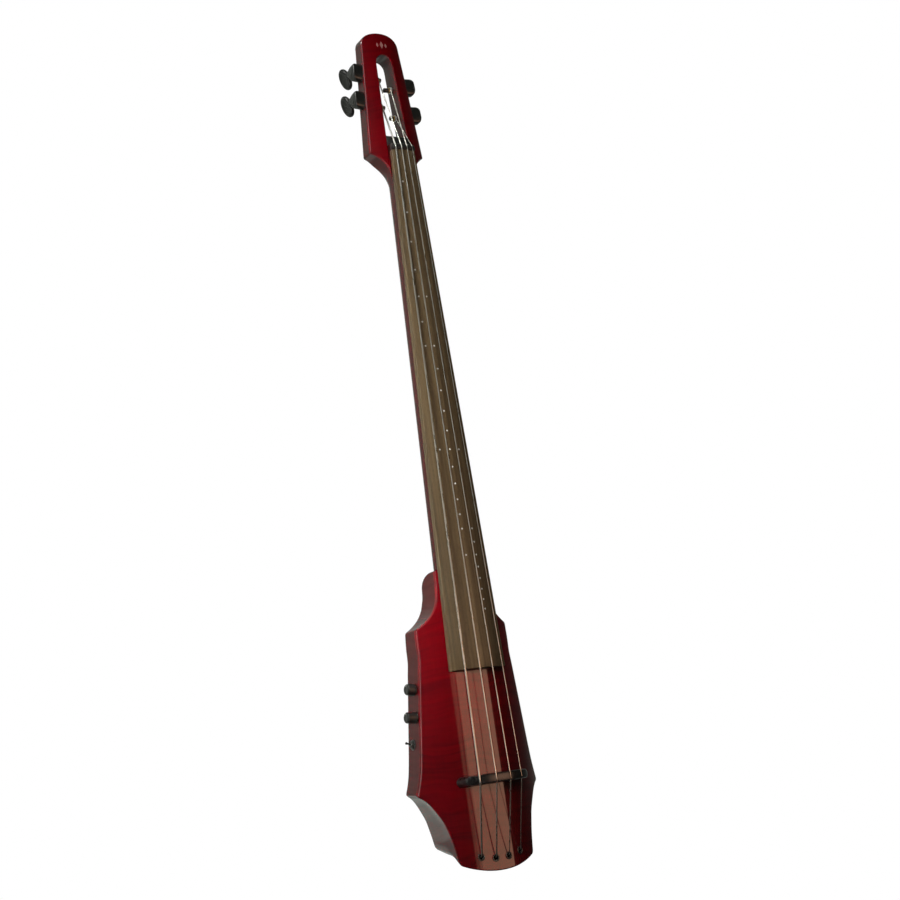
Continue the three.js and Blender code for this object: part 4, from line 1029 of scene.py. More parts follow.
def bridge_piece():
    """A bar on the arched top, rounded at its ends and along its top edge, wider at its foot."""
    top_h = lambda u: 12.4 - u * u / 166
    K, ends = 46, 9
    half = []
    for i in range(ends + 1):  # quarter of the rounded end, then the straight side
        q = math.pi / 2 * i / ends
        half.append((50.2 + 7.8 * math.cos(q), 9.0 * math.sin(q)))
    side = [(50.2 - 100.4 * i / K, 9.0) for i in range(1, K)]
    left = [(-50.2 - 7.8 * math.sin(math.pi / 2 * i / ends), 9.0 * math.cos(math.pi / 2 * i / ends)) for i in range(ends + 1)]
    upper = half + side + left
    plan = upper + [(u, -s) for u, s in upper[::-1][1:-1]]
    N = normals2d(plan)
    sign = -1 if N[0][0] > 0 else 1
    rings = []

    def ring(a, squeeze, hf):
        out = []
        for p, n in zip(plan, N):
            u, s = p[0] + sign * n[0] * a, (p[1] + sign * n[1] * a) * squeeze
            out.append(P(u, SCALE + s, hf(u)))
        rings.append(out)

    foot = lambda u: crown(SCALE) - u * u / TOP_ARCH + 0.35
    ring(0.6, 0.92, foot)
    ring(0.1, 0.93, lambda u: foot(u) + 0.3)
    ring(0.0, 0.92, lambda u: foot(u) + 1.2)
    for f in (0.15, 0.4, 0.65, 0.85):
        ring(0.4 * f, 0.92 - 0.10 * f, lambda u, f=f: foot(u) + 1.2 + (top_h(u) - 2.0 - foot(u) - 1.2) * f)
    for i in range(5):
        q = math.pi / 2 * i / 4
        ring(0.5 + 2.0 * (1 - math.cos(q)), 0.82, lambda u, q=q: top_h(u) - 2.0 * (1 - math.sin(q)))
    return stack(rings, True, False), rings


(bv, bf), brings = bridge_piece()
# close the top with a grid between its two sides
K = len(brings[-1])
base = len(bv) - K
h2 = K // 2
for i in range(h2):
    a, b = base + i, base + i + 1
    c, d = base + (K - i) % K, base + (K - i - 1) % K
    if i == 0:
        bf.append((base, base + 1, base + K - 1))
    elif i == h2 - 1:
        bf.append((a, b, c))
    else:
        bf.append((a, b, d, c))
bridge = make("bridge_bar", bv, bf, BRIDGE, "bass", "black_plastic", ["bridge"], sharp=50)
tail_slope = lambda t: (t["bh"] - topH(t["au"], t["aS"]) - 2.6) / (t["aS"] - 3 - SCALE - 3.5)
for k, t in STRINGS.items():
    sl = tail_slope(t)
    boolean(bridge, loose(*route_cutter(t, [(stringU(k, SCALE - 12), SCALE - 12, t["bh"] + 0.05), (t["bu"], SCALE - 3.5, t["bh"]), (t["bu"], SCALE + 3.5, t["bh"] - 0.1), (t["bu"] + (t["au"] - t["bu"]) * 0.07, SCALE + 12, t["bh"] - 0.1 - 8.5 * sl)], t["r"] + 0.16)))
finish_mesh(bridge, 45)

# ------------------------------------------------------------------ string anchors and strings
for k, t in STRINGS.items():
    u0, s0 = t["au"], t["aS"]
    prof = [(0.2, -13.5), (4.9, -13.5), (4.95, -2), (4.95, -0.2), (5.6, 0.05), (5.95, 0.45), (5.9, 0.95), (5.4, 1.25), (4.6, 1.3), (3.7, 0.9), (3.35, 0.1), (3.3, -2), (3.3, -9), (0.2, -9.6)]
    n, rings = 40, []
    nx = Vector((2 * u0 / TOP_ARCH, 0, 1)).normalized()
    tu = Vector((nx[2], 0, -nx[0]))
    for r, z in prof:
        rings.append([P(u0 + tu[0] * r * math.cos(q) + nx[0] * z, s0 + r * math.sin(q), topH(u0, s0) + tu[2] * r * math.cos(q) + nx[2] * z) for q in [2 * math.pi * i / n for i in range(n)]])
    make(k + "_anchor_ring", *stack(rings), BLACK, "bass", "black_metal", [k + "_string_anchor"], sharp=45)

WIND_U = {"e": 9.0, "a": 9.0, "d": 12.2, "g": 13.6}
POST_R = 4.0
for k, t in STRINGS.items():
    side = -1 if k in "ea" else 1
    r = t["r"]
    tp = topH(t["au"], t["aS"])
    v = lambda u, s, h: Vector((u, Y0 - h, Z0 - s))
    key = [v(t["au"], t["aS"], tp - 9.2), v(t["au"], t["aS"], tp - 3)]
    # over the rim of its anchor in a small bend
    a, b, c = v(t["au"], t["aS"], tp - 3), v(t["au"], t["aS"], tp + 1.0), v(t["au"] + (t["bu"] - t["au"]) * 0.03, t["aS"] - 4.2, tp + 3.4)
    key += [a * (1 - x) ** 2 + b * 2 * x * (1 - x) + c * x * x for x in [i / 7 for i in range(1, 8)]]
    p1, p2 = v(t["bu"], SCALE + 3.5, t["bh"] - 0.1), v(t["bu"], SCALE - 3.5, t["bh"])
    q0 = c
    d = (p1 - q0)
    key.append(q0 + d * 0.5)
    key.append(q0 + d * 0.985)
    key.append(p1 + (p2 - p1) * 0.15)
    key.append(p1 + (p2 - p1) * 0.85)
    e1, e2 = v(t["nut"], 0, nutH(t["nut"])), v(t["nut"], -4, nutH(t["nut"]) - 0.1)
    d = e1 - p2
    key += [p2 + d * 0.004, p2 + d * 0.3, p2 + d * 0.6, p2 + d * 0.9985]
    key += [e1 + (e2 - e1) * 0.3, e2]
    e3 = v(t["nut"], -9.5, nutH(t["nut"]) - 1.4)
    key += [e2 + (e3 - e2) * 0.55]
    ps = POSTS[k]
    R = POST_R + GAP + r
    axis = Vector((side * math.cos(HEAD_TILT), 0, math.sin(HEAD_TILT)))
    wall = v(side * headW(ps), ps, POST_H)
    centre = wall + axis * (WIND_U[k] - headW(ps))
    f1 = Vector((0, -1, 0))
    f2 = axis.cross(f1).normalized()
    up = 1 if f2.z > 0 else -1
    turns, n = 1.3, 44
    coil = []
    for i in range(n + 1):
        ang = -0.35 + 2 * math.pi * turns * i / n
        coil.append(centre + axis * ((2 * r + 0.35) * turns * i / n + 0.5) + f1 * (R * math.cos(ang)) + f2 * (up * R * math.sin(ang)))
    into = coil[0] - e3
    bend0 = [e3 - into.normalized() * 0.0]
    key += [e3 + into * 0.02, e3 + into * 0.5, e3 + into * 0.985]
    key += coil
    last = coil[-1]
    tang = (coil[-1] - coil[-2]).normalized()
    inner = (centre + axis * ((2 * r + 0.35) * turns + 0.5)) - last
    key += [last + tang * 0.5 + inner * 0.12, last + tang * 0.8 + inner * 0.42]
    make(k + "_string_wound", *tube([p * MM for p in key], r * MM, 14), STRING, "bass", "string_winding", [k + "_string"], sharp=60)

# ------------------------------------------------------------------ tuning machines
WORM_X, WORM_OFFSET, BUTTON_LEAN = 12.0, 8.9, math.radians(24)


def tear():
    a = curve_pts([(-10.2, 6), (-9.8, 15), (-6, 20.2), (-0.5, 21.6), (5, 19.6), (10.5, 15), (15.0, 12.7)], 1.3)
    a += bend((15.0, 12.7), (16, 12.1), (16, 10.9), 3)[1:]
    a += bend((16, 6.0), (16, 4.8), (15.1, 4.1), 3)
    a += curve_pts([(15.1, 4.1), (11.4, 1.4), (8.4, -5), (4.2, -9.2), (-1.6, -10.6), (-6.8, -8.8), (-9.8, -1.5), (-10.2, 6)], 1.3)[1:-1]
    return a


XO = [(-11, 10.6), (-9.4, 14.2), (-5.6, 17.2), (0, 18.55), (6, 18.6), (12, 18.4), (17.2, 17.0), (20.6, 14.2), (22, 10.6)]


def housing_rings():
    plan = tear()  # (y, z)
    N = normals2d(plan)
    c = (1.6, 6.2)
    sign = 1 if sum((c[0] - p[0]) * n[0] + (c[1] - p[1]) * n[1] for p, n in zip(plan, N)) > 0 else -1
    rings = []
    R = 2.0

    def ring(a, xf):
        out = []
        for p, n in zip(plan, N):
            y, z = p[0] + sign * n[0] * a, p[1] + sign * n[1] * a
            out.append((xf(z), y, z))
        rings.append(out)

    ring(0.5, lambda z: 0.3)
    ring(0.12, lambda z: 0.45)
    ring(0.0, lambda z: 0.8)
    for f in (0.35, 0.7):
        ring(0.0, lambda z, f=f: 0.8 + (pch(XO, z) - R - 0.8) * f)
    for i in range(6):
        q = math.pi / 2 * i / 5
        ring(R * (1 - math.cos(q)), lambda z, q=q: pch(XO, z) - R * (1 - math.sin(q)))
    last = rings[-1]
    for f in (0.78, 0.52, 0.26, 0.08):
        out = []
        for x, y, z in last:
            y2, z2 = c[0] + (y - c[0]) * f, c[1] + (z - c[1]) * f
            out.append((pch(XO, z2) + 0.35 * (1 - f), y2, z2))
        rings.append(out)
    return rings


def pillow(m, n=48):
    """The button: an oval with a rolled rim and a shallow dish in each face."""
    A, B, T = 13.6, 19.2, 4.3
    rings = []
    for side in (1, -1):
        prof = []
        for i in range(9):
            q = math.pi / 2 * i / 8
            prof.append((1 - 0.20 * (1 - math.cos(q)) , T * math.sin(q) ** 0.9 * 0.97))
        prof += [(0.74, T * 0.985), (0.66, T * 0.93), (0.56, T * 0.83), (0.40, T * 0.74), (0.20, T * 0.70), (0.05, T * 0.69)]
        part = [[(side * x, A * f * math.cos(2 * math.pi * i / n), B * f * math.sin(2 * math.pi * i / n)) for i in range(n)] for f, x in prof]
        rings = part[::-1] + rings if side == 1 else rings + part[1:]
    spin = Matrix.Translation((WORM_X, 33, WORM_OFFSET)) @ Matrix.Rotation(BUTTON_LEAN, 4, "Y")
    return [at(m @ spin, r) for r in rings]


def turned_y(m, profile, x, z, n=32):
    """Rings about a line along y from [y, radius]."""
    return [at(m, [(x + r * math.cos(q), y, z + r * math.sin(q)) for q in [2 * math.pi * i / n for i in range(n)]]) for y, r in profile]


HOUSE = housing_rings()
for k, s in POSTS.items():
    left = k in "ea"
    wall_at = headW(s)
    m = local(wall_at, s, POST_H, HEAD_TILT, left)
    make(k + "_tuner_case", *stack([at(m, r) for r in HOUSE]), BLACK, "bass", "black_metal", [k + "_tuner_housing"], sharp=50)
    # the worm bearing's collar and the cover's screw on the case
    make(k + "_tuner_bearing", *stack(turned_y(m, [(14.6, 0.3), (14.6, 5.0), (16.2, 5.0), (16.8, 4.6), (17.0, 3.9), (17.0, 0.3)], WORM_X, WORM_OFFSET)), BLACK, "bass", "black_metal", sharp=40)
    cap = [(18.4, 0.2), (18.4, 3.3), (19.0, 3.3), (19.35, 2.9), (19.5, 2.2), (19.35, 0.2)]
    sc = make(k + "_tuner_case_screw", *stack([at(m, [(x, r * math.cos(q), r * math.sin(q)) for q in [2 * math.pi * i / 28 for i in range(28)]]) for x, r in cap]), BLACK, "bass", "black_metal", sharp=40)
    # post: waisted, domed, cross-drilled
    L = POST_END[k] - wall_at
    w = WIND_U[k] - wall_at
    prof = [(L, 0.05), (L, 2.8), (L + 0.25, 3.5), (L + 0.8, 3.95), (L + 1.4, 4.0), (-3.0, 4.0), (8.6, 4.0), (8.6, 2.8), (15.6, 2.8), (15.6, 0.05)]
    post = make(k + "_post_turned", *stack([at(m, r) for r in lathe(prof, 36)]), BLACK, k + "_post", "black_metal", [k + "_tuner_post"], sharp=40)
    cut(post, loose(*cyl(m @ Vector((16.5 - wall_at, -8, 0)), m @ Vector((16.5 - wall_at, 8, 0)), 1.5 * MM, 20)))
    c0 = WIND_U[k] - wall_at - 2.6
    make(k + "_post_collar", *stack([at(m, [(x, r * math.cos(q), r * math.sin(q)) for q in [2 * math.pi * i / 32 for i in range(32)]]) for x, r in ((c0, 4.02), (c0, 4.5), (c0 + 0.3, 4.85), (c0 + 1.6, 4.85), (c0 + 1.9, 4.5), (c0 + 1.9, 4.02))], False, False), BRASS, k + "_post", "brass", sharp=35)
    ob = make(k + "_button_oval", *stack(pillow(m)), PLASTIC, k + "_button", "black_plastic", [k + "_tuner_button"], sharp=50)
    make(k + "_button_stem", *stack(turned_y(m, [(17.25, 0.3), (17.25, 3.2), (17.8, 3.5), (20.2, 3.5), (21.0, 2.9), (22.2, 2.7), (25.5, 2.9), (30, 3.4), (34, 3.4), (34, 0.3)], WORM_X, WORM_OFFSET, 28)), BLACK, k + "_button", "black_metal", sharp=40)
    # washer under the case
    make(k + "_tuner_gasket", *stack([at(m, [(x, y * f, z * f + 6 * (1 - f)) for y, z in tear()]) for x, f in ((0.05, 1.02), (0.05, 1.045), (0.32, 1.045), (0.32, 1.02))]), RUBBER, "bass", "black_metal", sharp=40)

# ------------------------------------------------------------------ knobs, switch, jack
KNOB_S = {"volume": 906.0, "tone": 950.0}
KNOB_L = {"volume": 15.2, "tone": 17.9}
CONTROL_H, SWITCH_S, SWITCH_H, LEVER_THROW = -70.0, 991.0, -83.0, math.radians(13)
for c, s in KNOB_S.items():
    m = local(wallU(s), s, CONTROL_H, WALL_TILT, True)
    L = KNOB_L[c]
    n = 96
    rings = []

    def knurl(x, r, depth):
        rings.append(at(m, [(x, (r - depth * (1 if i % 4 in (0, 3) else 0)) * math.cos(2 * math.pi * i / n), (r - depth * (1 if i % 4 in (0, 3) else 0)) * math.sin(2 * math.pi * i / n)) for i in range(n)]))

    for x, r, dp in ((7.0, 0.4, 0), (7.0, 6.4, 0), (0.9, 6.6, 0), (0.85, 9.0, 0), (1.15, 9.4, 0), (2.6, 9.4, 0), (3.0, 9.15, 0), (3.3, 9.15, 0.0), (3.7, 9.2, 0.28), (L - 3.2, 8.85, 0.28), (L - 2.8, 8.8, 0), (L - 2.3, 8.75, 0), (L - 1.2, 8.35, 0), (L - 0.5, 7.6, 0), (L - 0.12, 6.6, 0), (L, 5.4, 0), (L - 0.12, 4.6, 0), (L - 0.3, 3.0, 0), (L - 0.36, 0.4, 0)):
        knurl(x, r, dp)
    make(c + "_knob_turned", *stack(rings), BLACK, c + "_control", "black_metal", [c + "_knob"], sharp=34)
    # pointer line set into the rim
    make(c + "_knob_pointer", *stack([at(m, [(x, y, z) for y, z in ((-0.35, 5.0), (0.35, 5.0), (0.35, 8.35), (-0.35, 8.35))]) for x in (L - 1.6, L + 0.02)]), PEARL, c + "_control", "black_metal", sharp=30)
    make(c + "_knob_washer", *stack([at(m, r) for r in lathe([(0.05, 4.2), (0.05, 8.2), (0.45, 8.2), (0.6, 7.9), (0.6, 4.2)], 40)] ), STEEL, "bass", "steel", sharp=30)

m = local(wallU(SWITCH_S), SWITCH_S, SWITCH_H, WALL_TILT, True)
hexr = lambda f, x, turn=0.0: [(x, f / math.sqrt(3) * math.cos(turn + math.pi / 3 * i), f / math.sqrt(3) * math.sin(turn + math.pi / 3 * i)) for i in range(6)]
nutm = make("switch_nut_hex", *stack([at(m, hexr(12, x)) for x in (0.3, 3.0)]), BLACK, "bass", "black_metal", ["switch_nut"], sharp=30)
bevel(nutm, 0.45, 2, 30, 40)
cut(nutm, loose(*cyl(m @ Vector((-2, 0, 0)), m @ Vector((6, 0, 0)), 3.45 * MM, 32)))
make("switch_washer", *stack([at(m, r) for r in lathe([(0.05, 3.8), (0.05, 8.6), (0.55, 8.6), (0.8, 8.3), (0.8, 3.8)], 40)]), BLACK, "bass", "black_metal", sharp=30)
rings = []
for i in range(27):  # threaded neck of the switch
    x = -3.0 + 8.4 * i / 26
    rings.append(at(m, [(x, r * math.cos(q), r * math.sin(q)) for q, r in [(2 * math.pi * j / 32, (3.28 if i % 2 else 3.02) if i < 25 else 3.0) for j in range(32)]]))
rings.append(at(m, [(5.4, 2.55 * math.cos(2 * math.pi * j / 32), 2.55 * math.sin(2 * math.pi * j / 32)) for j in range(32)]))
rings.append(at(m, [(0.0, 2.5 * math.cos(2 * math.pi * j / 32), 2.5 * math.sin(2 * math.pi * j / 32)) for j in range(32)]))
rings.append(at(m, [(-3.0, 2.4 * math.cos(2 * math.pi * j / 32), 2.4 * math.sin(2 * math.pi * j / 32)) for j in range(32)]))
tv, tf = stack(rings)
make("switch_thread", tv, tf, BLACK, "bass", "black_metal", sharp=35)
lean = m @ Matrix.Translation((0.2, 0, 0)) @ Matrix.Rotation(-LEVER_THROW, 4, "Y")
prof = [(-1.8, 0.1), (-1.8, 0.9), (-0.8, 1.5), (0, 1.7), (0.9, 1.5), (1.6, 1.15), (5.5, 1.1), (9.0, 1.35), (11.2, 1.85), (12.4, 2.0), (13.2, 1.85), (13.65, 1.35), (13.8, 0.7), (13.8, 0.1)]
make("switch_bat", *stack([at(lean, r) for r in lathe(prof, 28)]), BLACK, "switch_lever", "steel", ["switch_lever"], sharp=45)

prof = [(-8.4, 3.4), (-8.4, 4.7), (3.0, 4.7), (3.6, 4.65), (4.1, 4.3), (4.4, 3.9), (4.35, 3.5), (4.0, 3.3), (-8.4, 3.3)]
make("jack_sleeve", *stack([at(jack, r) for r in lathe(prof, 40)], False, False), STEEL, "bass", "steel", sharp=40)
jn = make("jack_nut_hex", *stack([at(jack, hexr(13, x)) for x in (1.3, 3.8)]), BLACK, "bass", "black_metal", ["jack_nut"], sharp=30)
bevel(jn, 0.5, 2, 30, 40)
cut(jn, loose(*cyl(jack @ Vector((-2, 0, 0)), jack @ Vector((8, 0, 0)), 4.85 * MM, 40)))
make("jack_washer", *stack([at(jack, r) for r in lathe([(0.05, 4.95), (0.05, 9.0), (0.6, 9.0), (0.85, 8.75), (1.2, 8.3), (1.2, 4.95)], 44)]), BLACK, "bass", "black_metal", sharp=30)

# ------------------------------------------------------------------ back: cover, screws, stand plate
cover = make("cavity_cover_plate", *plate(cover_plan(0.35), lambda s: backH(s) + 2.3, lambda s: backH(s) + 0.1, 0.5, 3), PLASTIC, "bass", "black_plastic", ["cavity_cover"], sharp=40)
BT = math.atan(0.083)


def back_frame(u, s, out=0.0):
    m = Matrix.Translation((u, Y0 - backH(s), Z0 - s)) @ Matrix.Rotation(BT, 4, "X") @ Matrix.Translation((0, out, 0))
    return Matrix.Diagonal((MM, MM, MM, 1)) @ m


def screw_head(name, m, r, top, body, nodes, depth=0.9, cross=True, slot_name="black_metal"):
    prof = [(-1.2, 0.2), (-1.2, r * 0.55), (-0.25, r * 0.96), (0.0, r), (top * 0.45, r * 0.93), (top * 0.8, r * 0.72), (top, r * 0.36), (top + 0.05, 0.15)]
    rings = [at(m, [(q * math.cos(a), y, q * math.sin(a)) for a in [2 * math.pi * i / 36 for i in range(36)]]) for y, q in prof]
    ob = make(name, *stack(rings), BLACK, body, slot_name, nodes, sharp=45)
    w, l = 0.55, r * 0.62
    if cross:
        plan = [(w, w), (l, w * 0.8), (l, -w * 0.8), (w, -w), (w * 0.8, -l), (-w * 0.8, -l), (-w, -w), (-l, -w * 0.8), (-l, w * 0.8), (-w, w), (-w * 0.8, l), (w * 0.8, l)]
        plan = plan[::-1]
    else:
        plan = [(r * 0.46 * math.cos(math.pi / 3 * i), r * 0.46 * math.sin(math.pi / 3 * i)) for i in range(6)]
    cutr = stack([at(m, [(x * f, y, z * f) for x, z in plan]) for y, f in ((top - depth - 0.4, 0.55 if cross else 1.0), (top + 1.0, 1.15 if cross else 1.0))])
    cut(ob, loose(*cutr), sharp=45)
    return ob


COVER_SCREWS = {"cover_screw_1": (-74, 883.6), "cover_screw_2": (74, 883.6), "cover_screw_3": (-87, 1011.4), "cover_screw_4": (87, 1011.4)}
for name, (u, s) in COVER_SCREWS.items():
    boolean(cover, loose(*stack([at(back_frame(u, s), [(q * math.cos(a), y, q * math.sin(a)) for a in [2 * math.pi * i / 32 for i in range(32)]]) for y, q in ((-0.9, 3.5), (3, 3.5))])))
    screw_head(name + "_head", back_frame(u, s, -0.55), 3.15, 1.3, "bass", [name])
finish_mesh(cover, 40)


def rounded_rect(w, s0, s1, r, n=7):
    pts = []
    for cu, cs, a0 in ((w - r, s1 - r, 0), (-w + r, s1 - r, math.pi / 2), (-w + r, s0 + r, math.pi), (w - r, s0 + r, -math.pi / 2)):
        pts += [(cu + r * math.cos(a0 + math.pi / 2 * i / n), cs + r * math.sin(a0 + math.pi / 2 * i / n)) for i in range(n + 1)]
    return pts


mp = make("stand_mount_block", *plate(rounded_rect(32, MOUNT_S - 42, MOUNT_S + 42, 9), lambda s: backH(s) - 0.3, lambda s: MOUNT_H, 1.2, 4), BLACK, "bass", "black_metal", ["stand_mount_plate"], sharp=40)
ycyl = lambda u, s, r, y0, y1, n=36: stack([[Vector((u + r * math.cos(a), y, Z0 - s + r * math.sin(a))) * MM for a in [2 * math.pi * i / n for i in range(n)]] for y in (y0, y1)])
for u in (-20, 20):
    boolean(mp, loose(*ycyl(u, MOUNT_S, 4.0, -20, 6)))
for i, s in enumerate((MOUNT_S - 34, MOUNT_S + 34)):
    boolean(mp, loose(*ycyl(0, s, 4.95, -2.6, 6)))
    mm = Matrix.Diagonal((MM, MM, MM, 1)) @ Matrix.Translation((0, -2.4, Z0 - s))
    prof = [(0.0, 0.2), (0.0, 4.5), (1.4, 4.5), (1.8, 4.2), (1.95, 3.6), (1.95, 0.2)]
    ob = make("stand_screw_%d_head" % (i + 1), *stack([at(mm, [(q * math.cos(a), y, q * math.sin(a)) for a in [2 * math.pi * j / 36 for j in range(36)]]) for y, q in prof]), STEEL, "bass", "steel", ["stand_screw_%d" % (i + 1)], sharp=40)
    cut(ob, loose(*stack([at(mm, [(2.3 * math.cos(math.pi / 3 * j), y, 2.3 * math.sin(math.pi / 3 * j)) for j in range(6)]) for y in (0.5, 4)])), sharp=40)
finish_mesh(mp, 40)
for i, u in enumerate((-20, 20)):  # brass threads of the stand mount
    rings = []
    for j in range(25):
        y = -7.9 + 7.5 * j / 24
        rings.append([Vector((u + (2.95 if j % 2 else 3.25) * math.cos(a), y, Z0 - MOUNT_S + (2.95 if j % 2 else 3.25) * math.sin(a))) * MM for a in [2 * math.pi * q / 32 for q in range(32)]])
    rings.append([Vector((u + 3.6 * math.cos(a), -0.35, Z0 - MOUNT_S + 3.6 * math.sin(a))) * MM for a in [2 * math.pi * q / 32 for q in range(32)]])
    rings.append([Vector((u + 3.95 * math.cos(a), -0.5, Z0 - MOUNT_S + 3.95 * math.sin(a))) * MM for a in [2 * math.pi * q / 32 for q in range(32)]])
    rings.append([Vector((u + 3.95 * math.cos(a), -7.9, Z0 - MOUNT_S + 3.95 * math.sin(a))) * MM for a in [2 * math.pi * q / 32 for q in range(32)]])
    rings.append(rings[0])
    make("stand_insert_%d" % (i + 1), *stack(rings, False, False), BRASS, "bass", "brass", sharp=35)

# ------------------------------------------------------------------ small inlay on the head, a plain lozenge pair
verts, faces = [], []
for cu, cs, a, b in ((0.0, -207.5, 3.6, 7.4), (-8.2, -206.8, 2.4, 4.8), (8.2, -206.8, 2.4, 4.8)):
    base = len(verts)
    hh = lambda u, s: headCrown(s) - u * u / HEAD_ARCH
    plan = [(cu + a, cs), (cu, cs + b), (cu - a, cs), (cu, cs - b)]
    for f, up in ((1.0, -0.5), (1.0, 0.03), (0.86, 0.08)):
        for u, s in plan:
            uu, ss = cu + (u - cu) * f, cs + (s - cs) * f
            verts.append(P(uu, ss, hh(uu, ss) + up))
    for q in range(2):
        for i in range(4):
            j = (i + 1) % 4
            faces.append((base + q * 4 + i, base + q * 4 + j, base + q * 4 + 4 + j, base + q * 4 + 4 + i))
    faces.append((base + 3, base + 2, base + 1, base))
    faces.append((base + 8, base + 9, base + 10, base + 11))
make("head_inlay", verts, faces, INLAY, "bass", None, sharp=30)

# ------------------------------------------------------------------ carried-over CAD nodes
LOOK = {"steel": STEEL, "brass": BRASS, "circuit_board": CIRCUIT, "rubber": RUBBER, "black_metal": BLACK, "black_plastic": PLASTIC,
        "stained_maple": SIDE, "neck_maple": NECK, "board": BOARD, "string_winding": STRING}
SLOT_OF = {x["node"]: x["material_slot"] for x in frame["record"]["subparts"]}
for name, ob in frame["nodes"].items():
    if ob.hide_render:
        continue
    ob.data.materials.clear()
    ob.data.materials.append(LOOK[SLOT_OF[name]])

# ------------------------------------------------------------------ stage, light, camera
def floor_mat():
    k = Mat("pale_floor", Roughness=0.7, Specular_IOR_Level=0.1, Emission_Strength=1.0)
    n = k.noise(k.scaled(3, 3, 3), 1.0, 4.0)
    far = k.n("VectorMath")
    far.operation = "LENGTH"
    k.t.links.new(k.coord, far.inputs[0])
    far = k.math("MULTIPLY", far.outputs["Value"], 0.25)
    k.to("Base Color", k.mix(k.gray(far, (0.45, 0.0), (0.9, 1.0)), k.ramp(n, (0.3, (0.80, 0.80, 0.795, 1)), (0.7, (0.84, 0.84, 0.835, 1))), (0.1, 0.1, 0.1, 1)))
    k.to("Emission Color", k.gray(far, (0.2, 0.34), (0.88, 1.0)))
    return k.m


n, rings = 96, []
verts = [Vector((0.0, 0.0, -0.65))]
for r in (1.0, 2.0, 3.0, 3.8):
    verts += [Vector((r * math.cos(2 * math.pi * i / n), r * math.sin(2 * math.pi * i / n), -0.65)) for i in range(n)]
faces = [(0, 1 + i, 1 + (i + 1) % n) for i in range(n)]
for k in range(3):
    faces += [(1 + k * n + i, 1 + (k + 1) * n + i, 1 + (k + 1) * n + (i + 1) % n, 1 + k * n + (i + 1) % n) for i in range(n)]
floor = make("floor", verts, faces, floor_mat(), body=None)
floor.visible_glossy = floor.visible_diffuse = False

world = bpy.data.worlds.new("studio")
SC.world = world
world.use_nodes = True
wt = world.node_tree
wt.nodes.clear()
wout = wt.nodes.new("ShaderNodeOutputWorld")
tc = wt.nodes.new("ShaderNodeTexCoord")
sep = wt.nodes.new("ShaderNodeSeparateXYZ")
wt.links.new(tc.outputs["Generated"], sep.inputs[0])
ramp = wt.nodes.new("ShaderNodeValToRGB")
mr = wt.nodes.new("ShaderNodeMapRange")
mr.inputs["From Min"].default_value, mr.inputs["From Max"].default_value = -1.0, 1.0
wt.links.new(sep.outputs["Y"], mr.inputs["Value"])
wt.links.new(mr.outputs[0], ramp.inputs[0])
e = ramp.color_ramp.elements
e[0].position, e[0].color = 0.30, (0.004, 0.004, 0.004, 1)
e[1].position, e[1].color = 0.80, (0.32, 0.34, 0.31, 1)
x = e.new(0.52)
x.color = (0.045, 0.046, 0.042, 1)
bg = wt.nodes.new("ShaderNodeBackground")
wt.links.new(ramp.outputs[0], bg.inputs[0])
white = wt.nodes.new("ShaderNodeBackground")
white.inputs[0].default_value = (1, 1, 1, 1)
lp = wt.nodes.new("ShaderNodeLightPath")
mx = wt.nodes.new("ShaderNodeMixShader")
wt.links.new(lp.outputs["Is Camera Ray"], mx.inputs[0])
wt.links.new(bg.outputs[0], mx.inputs[1])
wt.links.new(white.outputs[0], mx.inputs[2])
wt.links.new(mx.outputs[0], wout.inputs[0])


def area(name, at_, to, size, size_y, power, color=(1, 1, 1)):
    l = bpy.data.lights.new(name, "AREA")
    l.shape, l.size, l.size_y, l.energy, l.color = "RECTANGLE", size, size_y, power, color
    o = bpy.data.objects.new(name, l)
    SC.collection.objects.link(o)
    o.location = at_
    o.rotation_mode = "QUATERNION"
    o.rotation_quaternion = (Vector(to) - Vector(at_)).to_track_quat("-Z", "Y")
    o.visible_camera = False
    return o


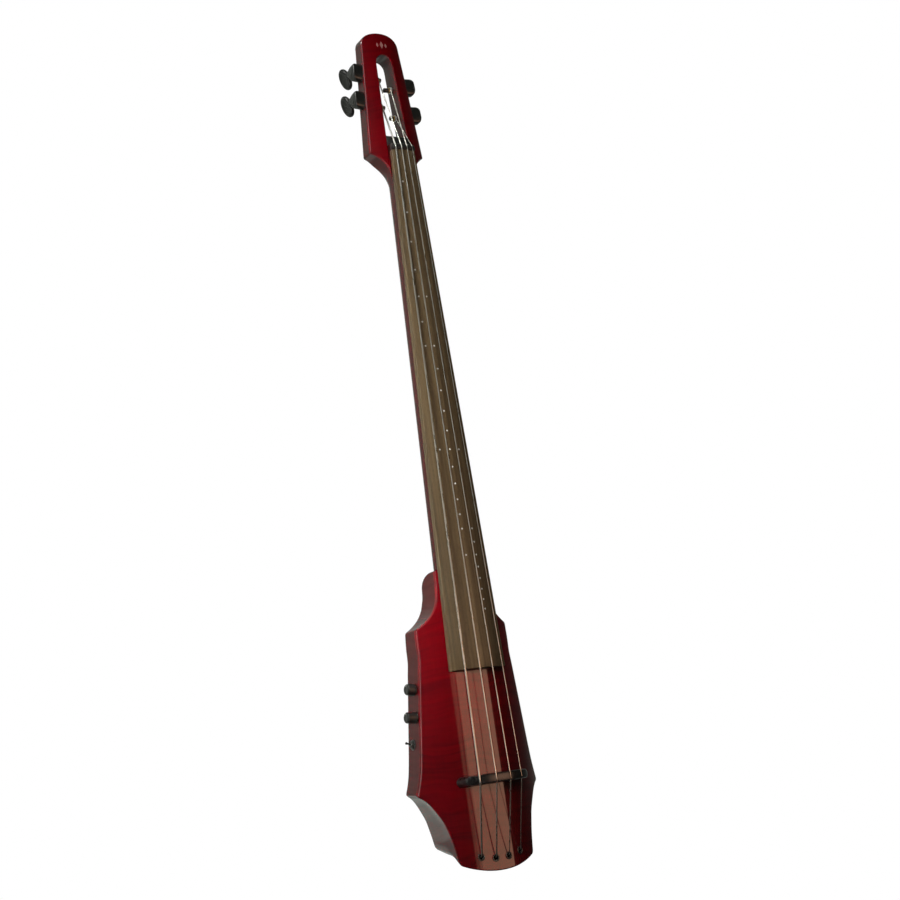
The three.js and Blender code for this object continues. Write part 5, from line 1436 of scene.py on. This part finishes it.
key = area("key_left", (-3.7, -1.45, 1.0), (0, -0.1, 0.62), 1.2, 0.9, 8.2)
key.data.spread = math.radians(28)
key.visible_glossy = False
soft = area("front_soft", (-1.8, -3.0, 1.7), (0, -0.1, 0.95), 2.4, 2.4, 15)
soft.data.spread = math.radians(80)
soft.visible_glossy = False
glow = area("key_sheen", (-3.7, -1.45, 0.8), (0, -0.1, 0.3), 1.8, 2.4, 27, (1.0, 1.0, 0.96))
glow.visible_diffuse = False
over = area("top_sheen", (-1.6, -1.2, 2.9), (0, -0.1, 0.6), 1.6, 1.6, 18)
over.visible_diffuse = False
under = area("low_sheen", (-1.5, -1.5, -0.62), (0, -0.1, 1.1), 0.8, 0.8, 0.7)
under.data.spread = math.radians(22)
under.visible_diffuse = False
spark = area("edge_spark", (-1.6, -1.2, 2.9), (0, -0.1, 0.4), 0.42, 0.42, 26, (1.0, 1.0, 0.97))
spark.visible_diffuse = False
hollow = area("hollow_sheen", (-0.75, 2.4, -1.30), (-0.1, -0.05, -0.03), 2.4, 1.3, 4.5, (0.84, 1.0, 0.90))
hollow.visible_diffuse = False
for i, (x0, w) in enumerate(((-0.14, 1.0), (0.05, 1.0), (0.2, 1.1))):
    ax = Vector((0.9171, 0.3987, 0))  # along the panel, left to right
    mid = Vector((-0.1471, -2.6066, 0.07)) + ax * (0.14 + x0 + (2.10 - x0) / 2)
    p = area("panel_%d" % i, mid + Vector((0, -0.02 * i, 0)), mid + Vector((-0.3987, 0.9171, 0)), 2.10 - x0, 0.80, 5.2 * w * (2.10 - x0) / 2.24, (1.0, 0.53, 0.34))
    p.visible_diffuse = False
fill = area("fill_back", (0.9, 3.0, 1.4), (0, 0, 0.5), 1.8, 1.8, 85)
fill.visible_glossy = False
sheen = area("back_sheen", (0.9, 3.0, 1.4), (0, 0, 0.5), 1.8, 1.0, 11, (0.96, 1.0, 0.94))
sheen.visible_diffuse = False
side = area("fill_right", (2.3, 2.6, 0.9), (0, 0, 0.5), 1.4, 2.2, 110)
side.visible_glossy = False

cam = bpy.data.cameras.new("camera")
cam.sensor_width, cam.lens = 36.0, 61.69
cam.clip_start, cam.clip_end = 0.05, 60
camo = bpy.data.objects.new("camera", cam)
SC.collection.objects.link(camo)
camo.matrix_world = Matrix(
    (
        (0.85316, 0.01546, -0.52141, -1.3144),
        (-0.50037, -0.25831, -0.82638, -2.1989),
        (-0.14746, 0.96594, -0.21264, 0.0175),
        (0, 0, 0, 1),
    )
)
SC.camera = camo
SC.view_settings.view_transform = "Standard"
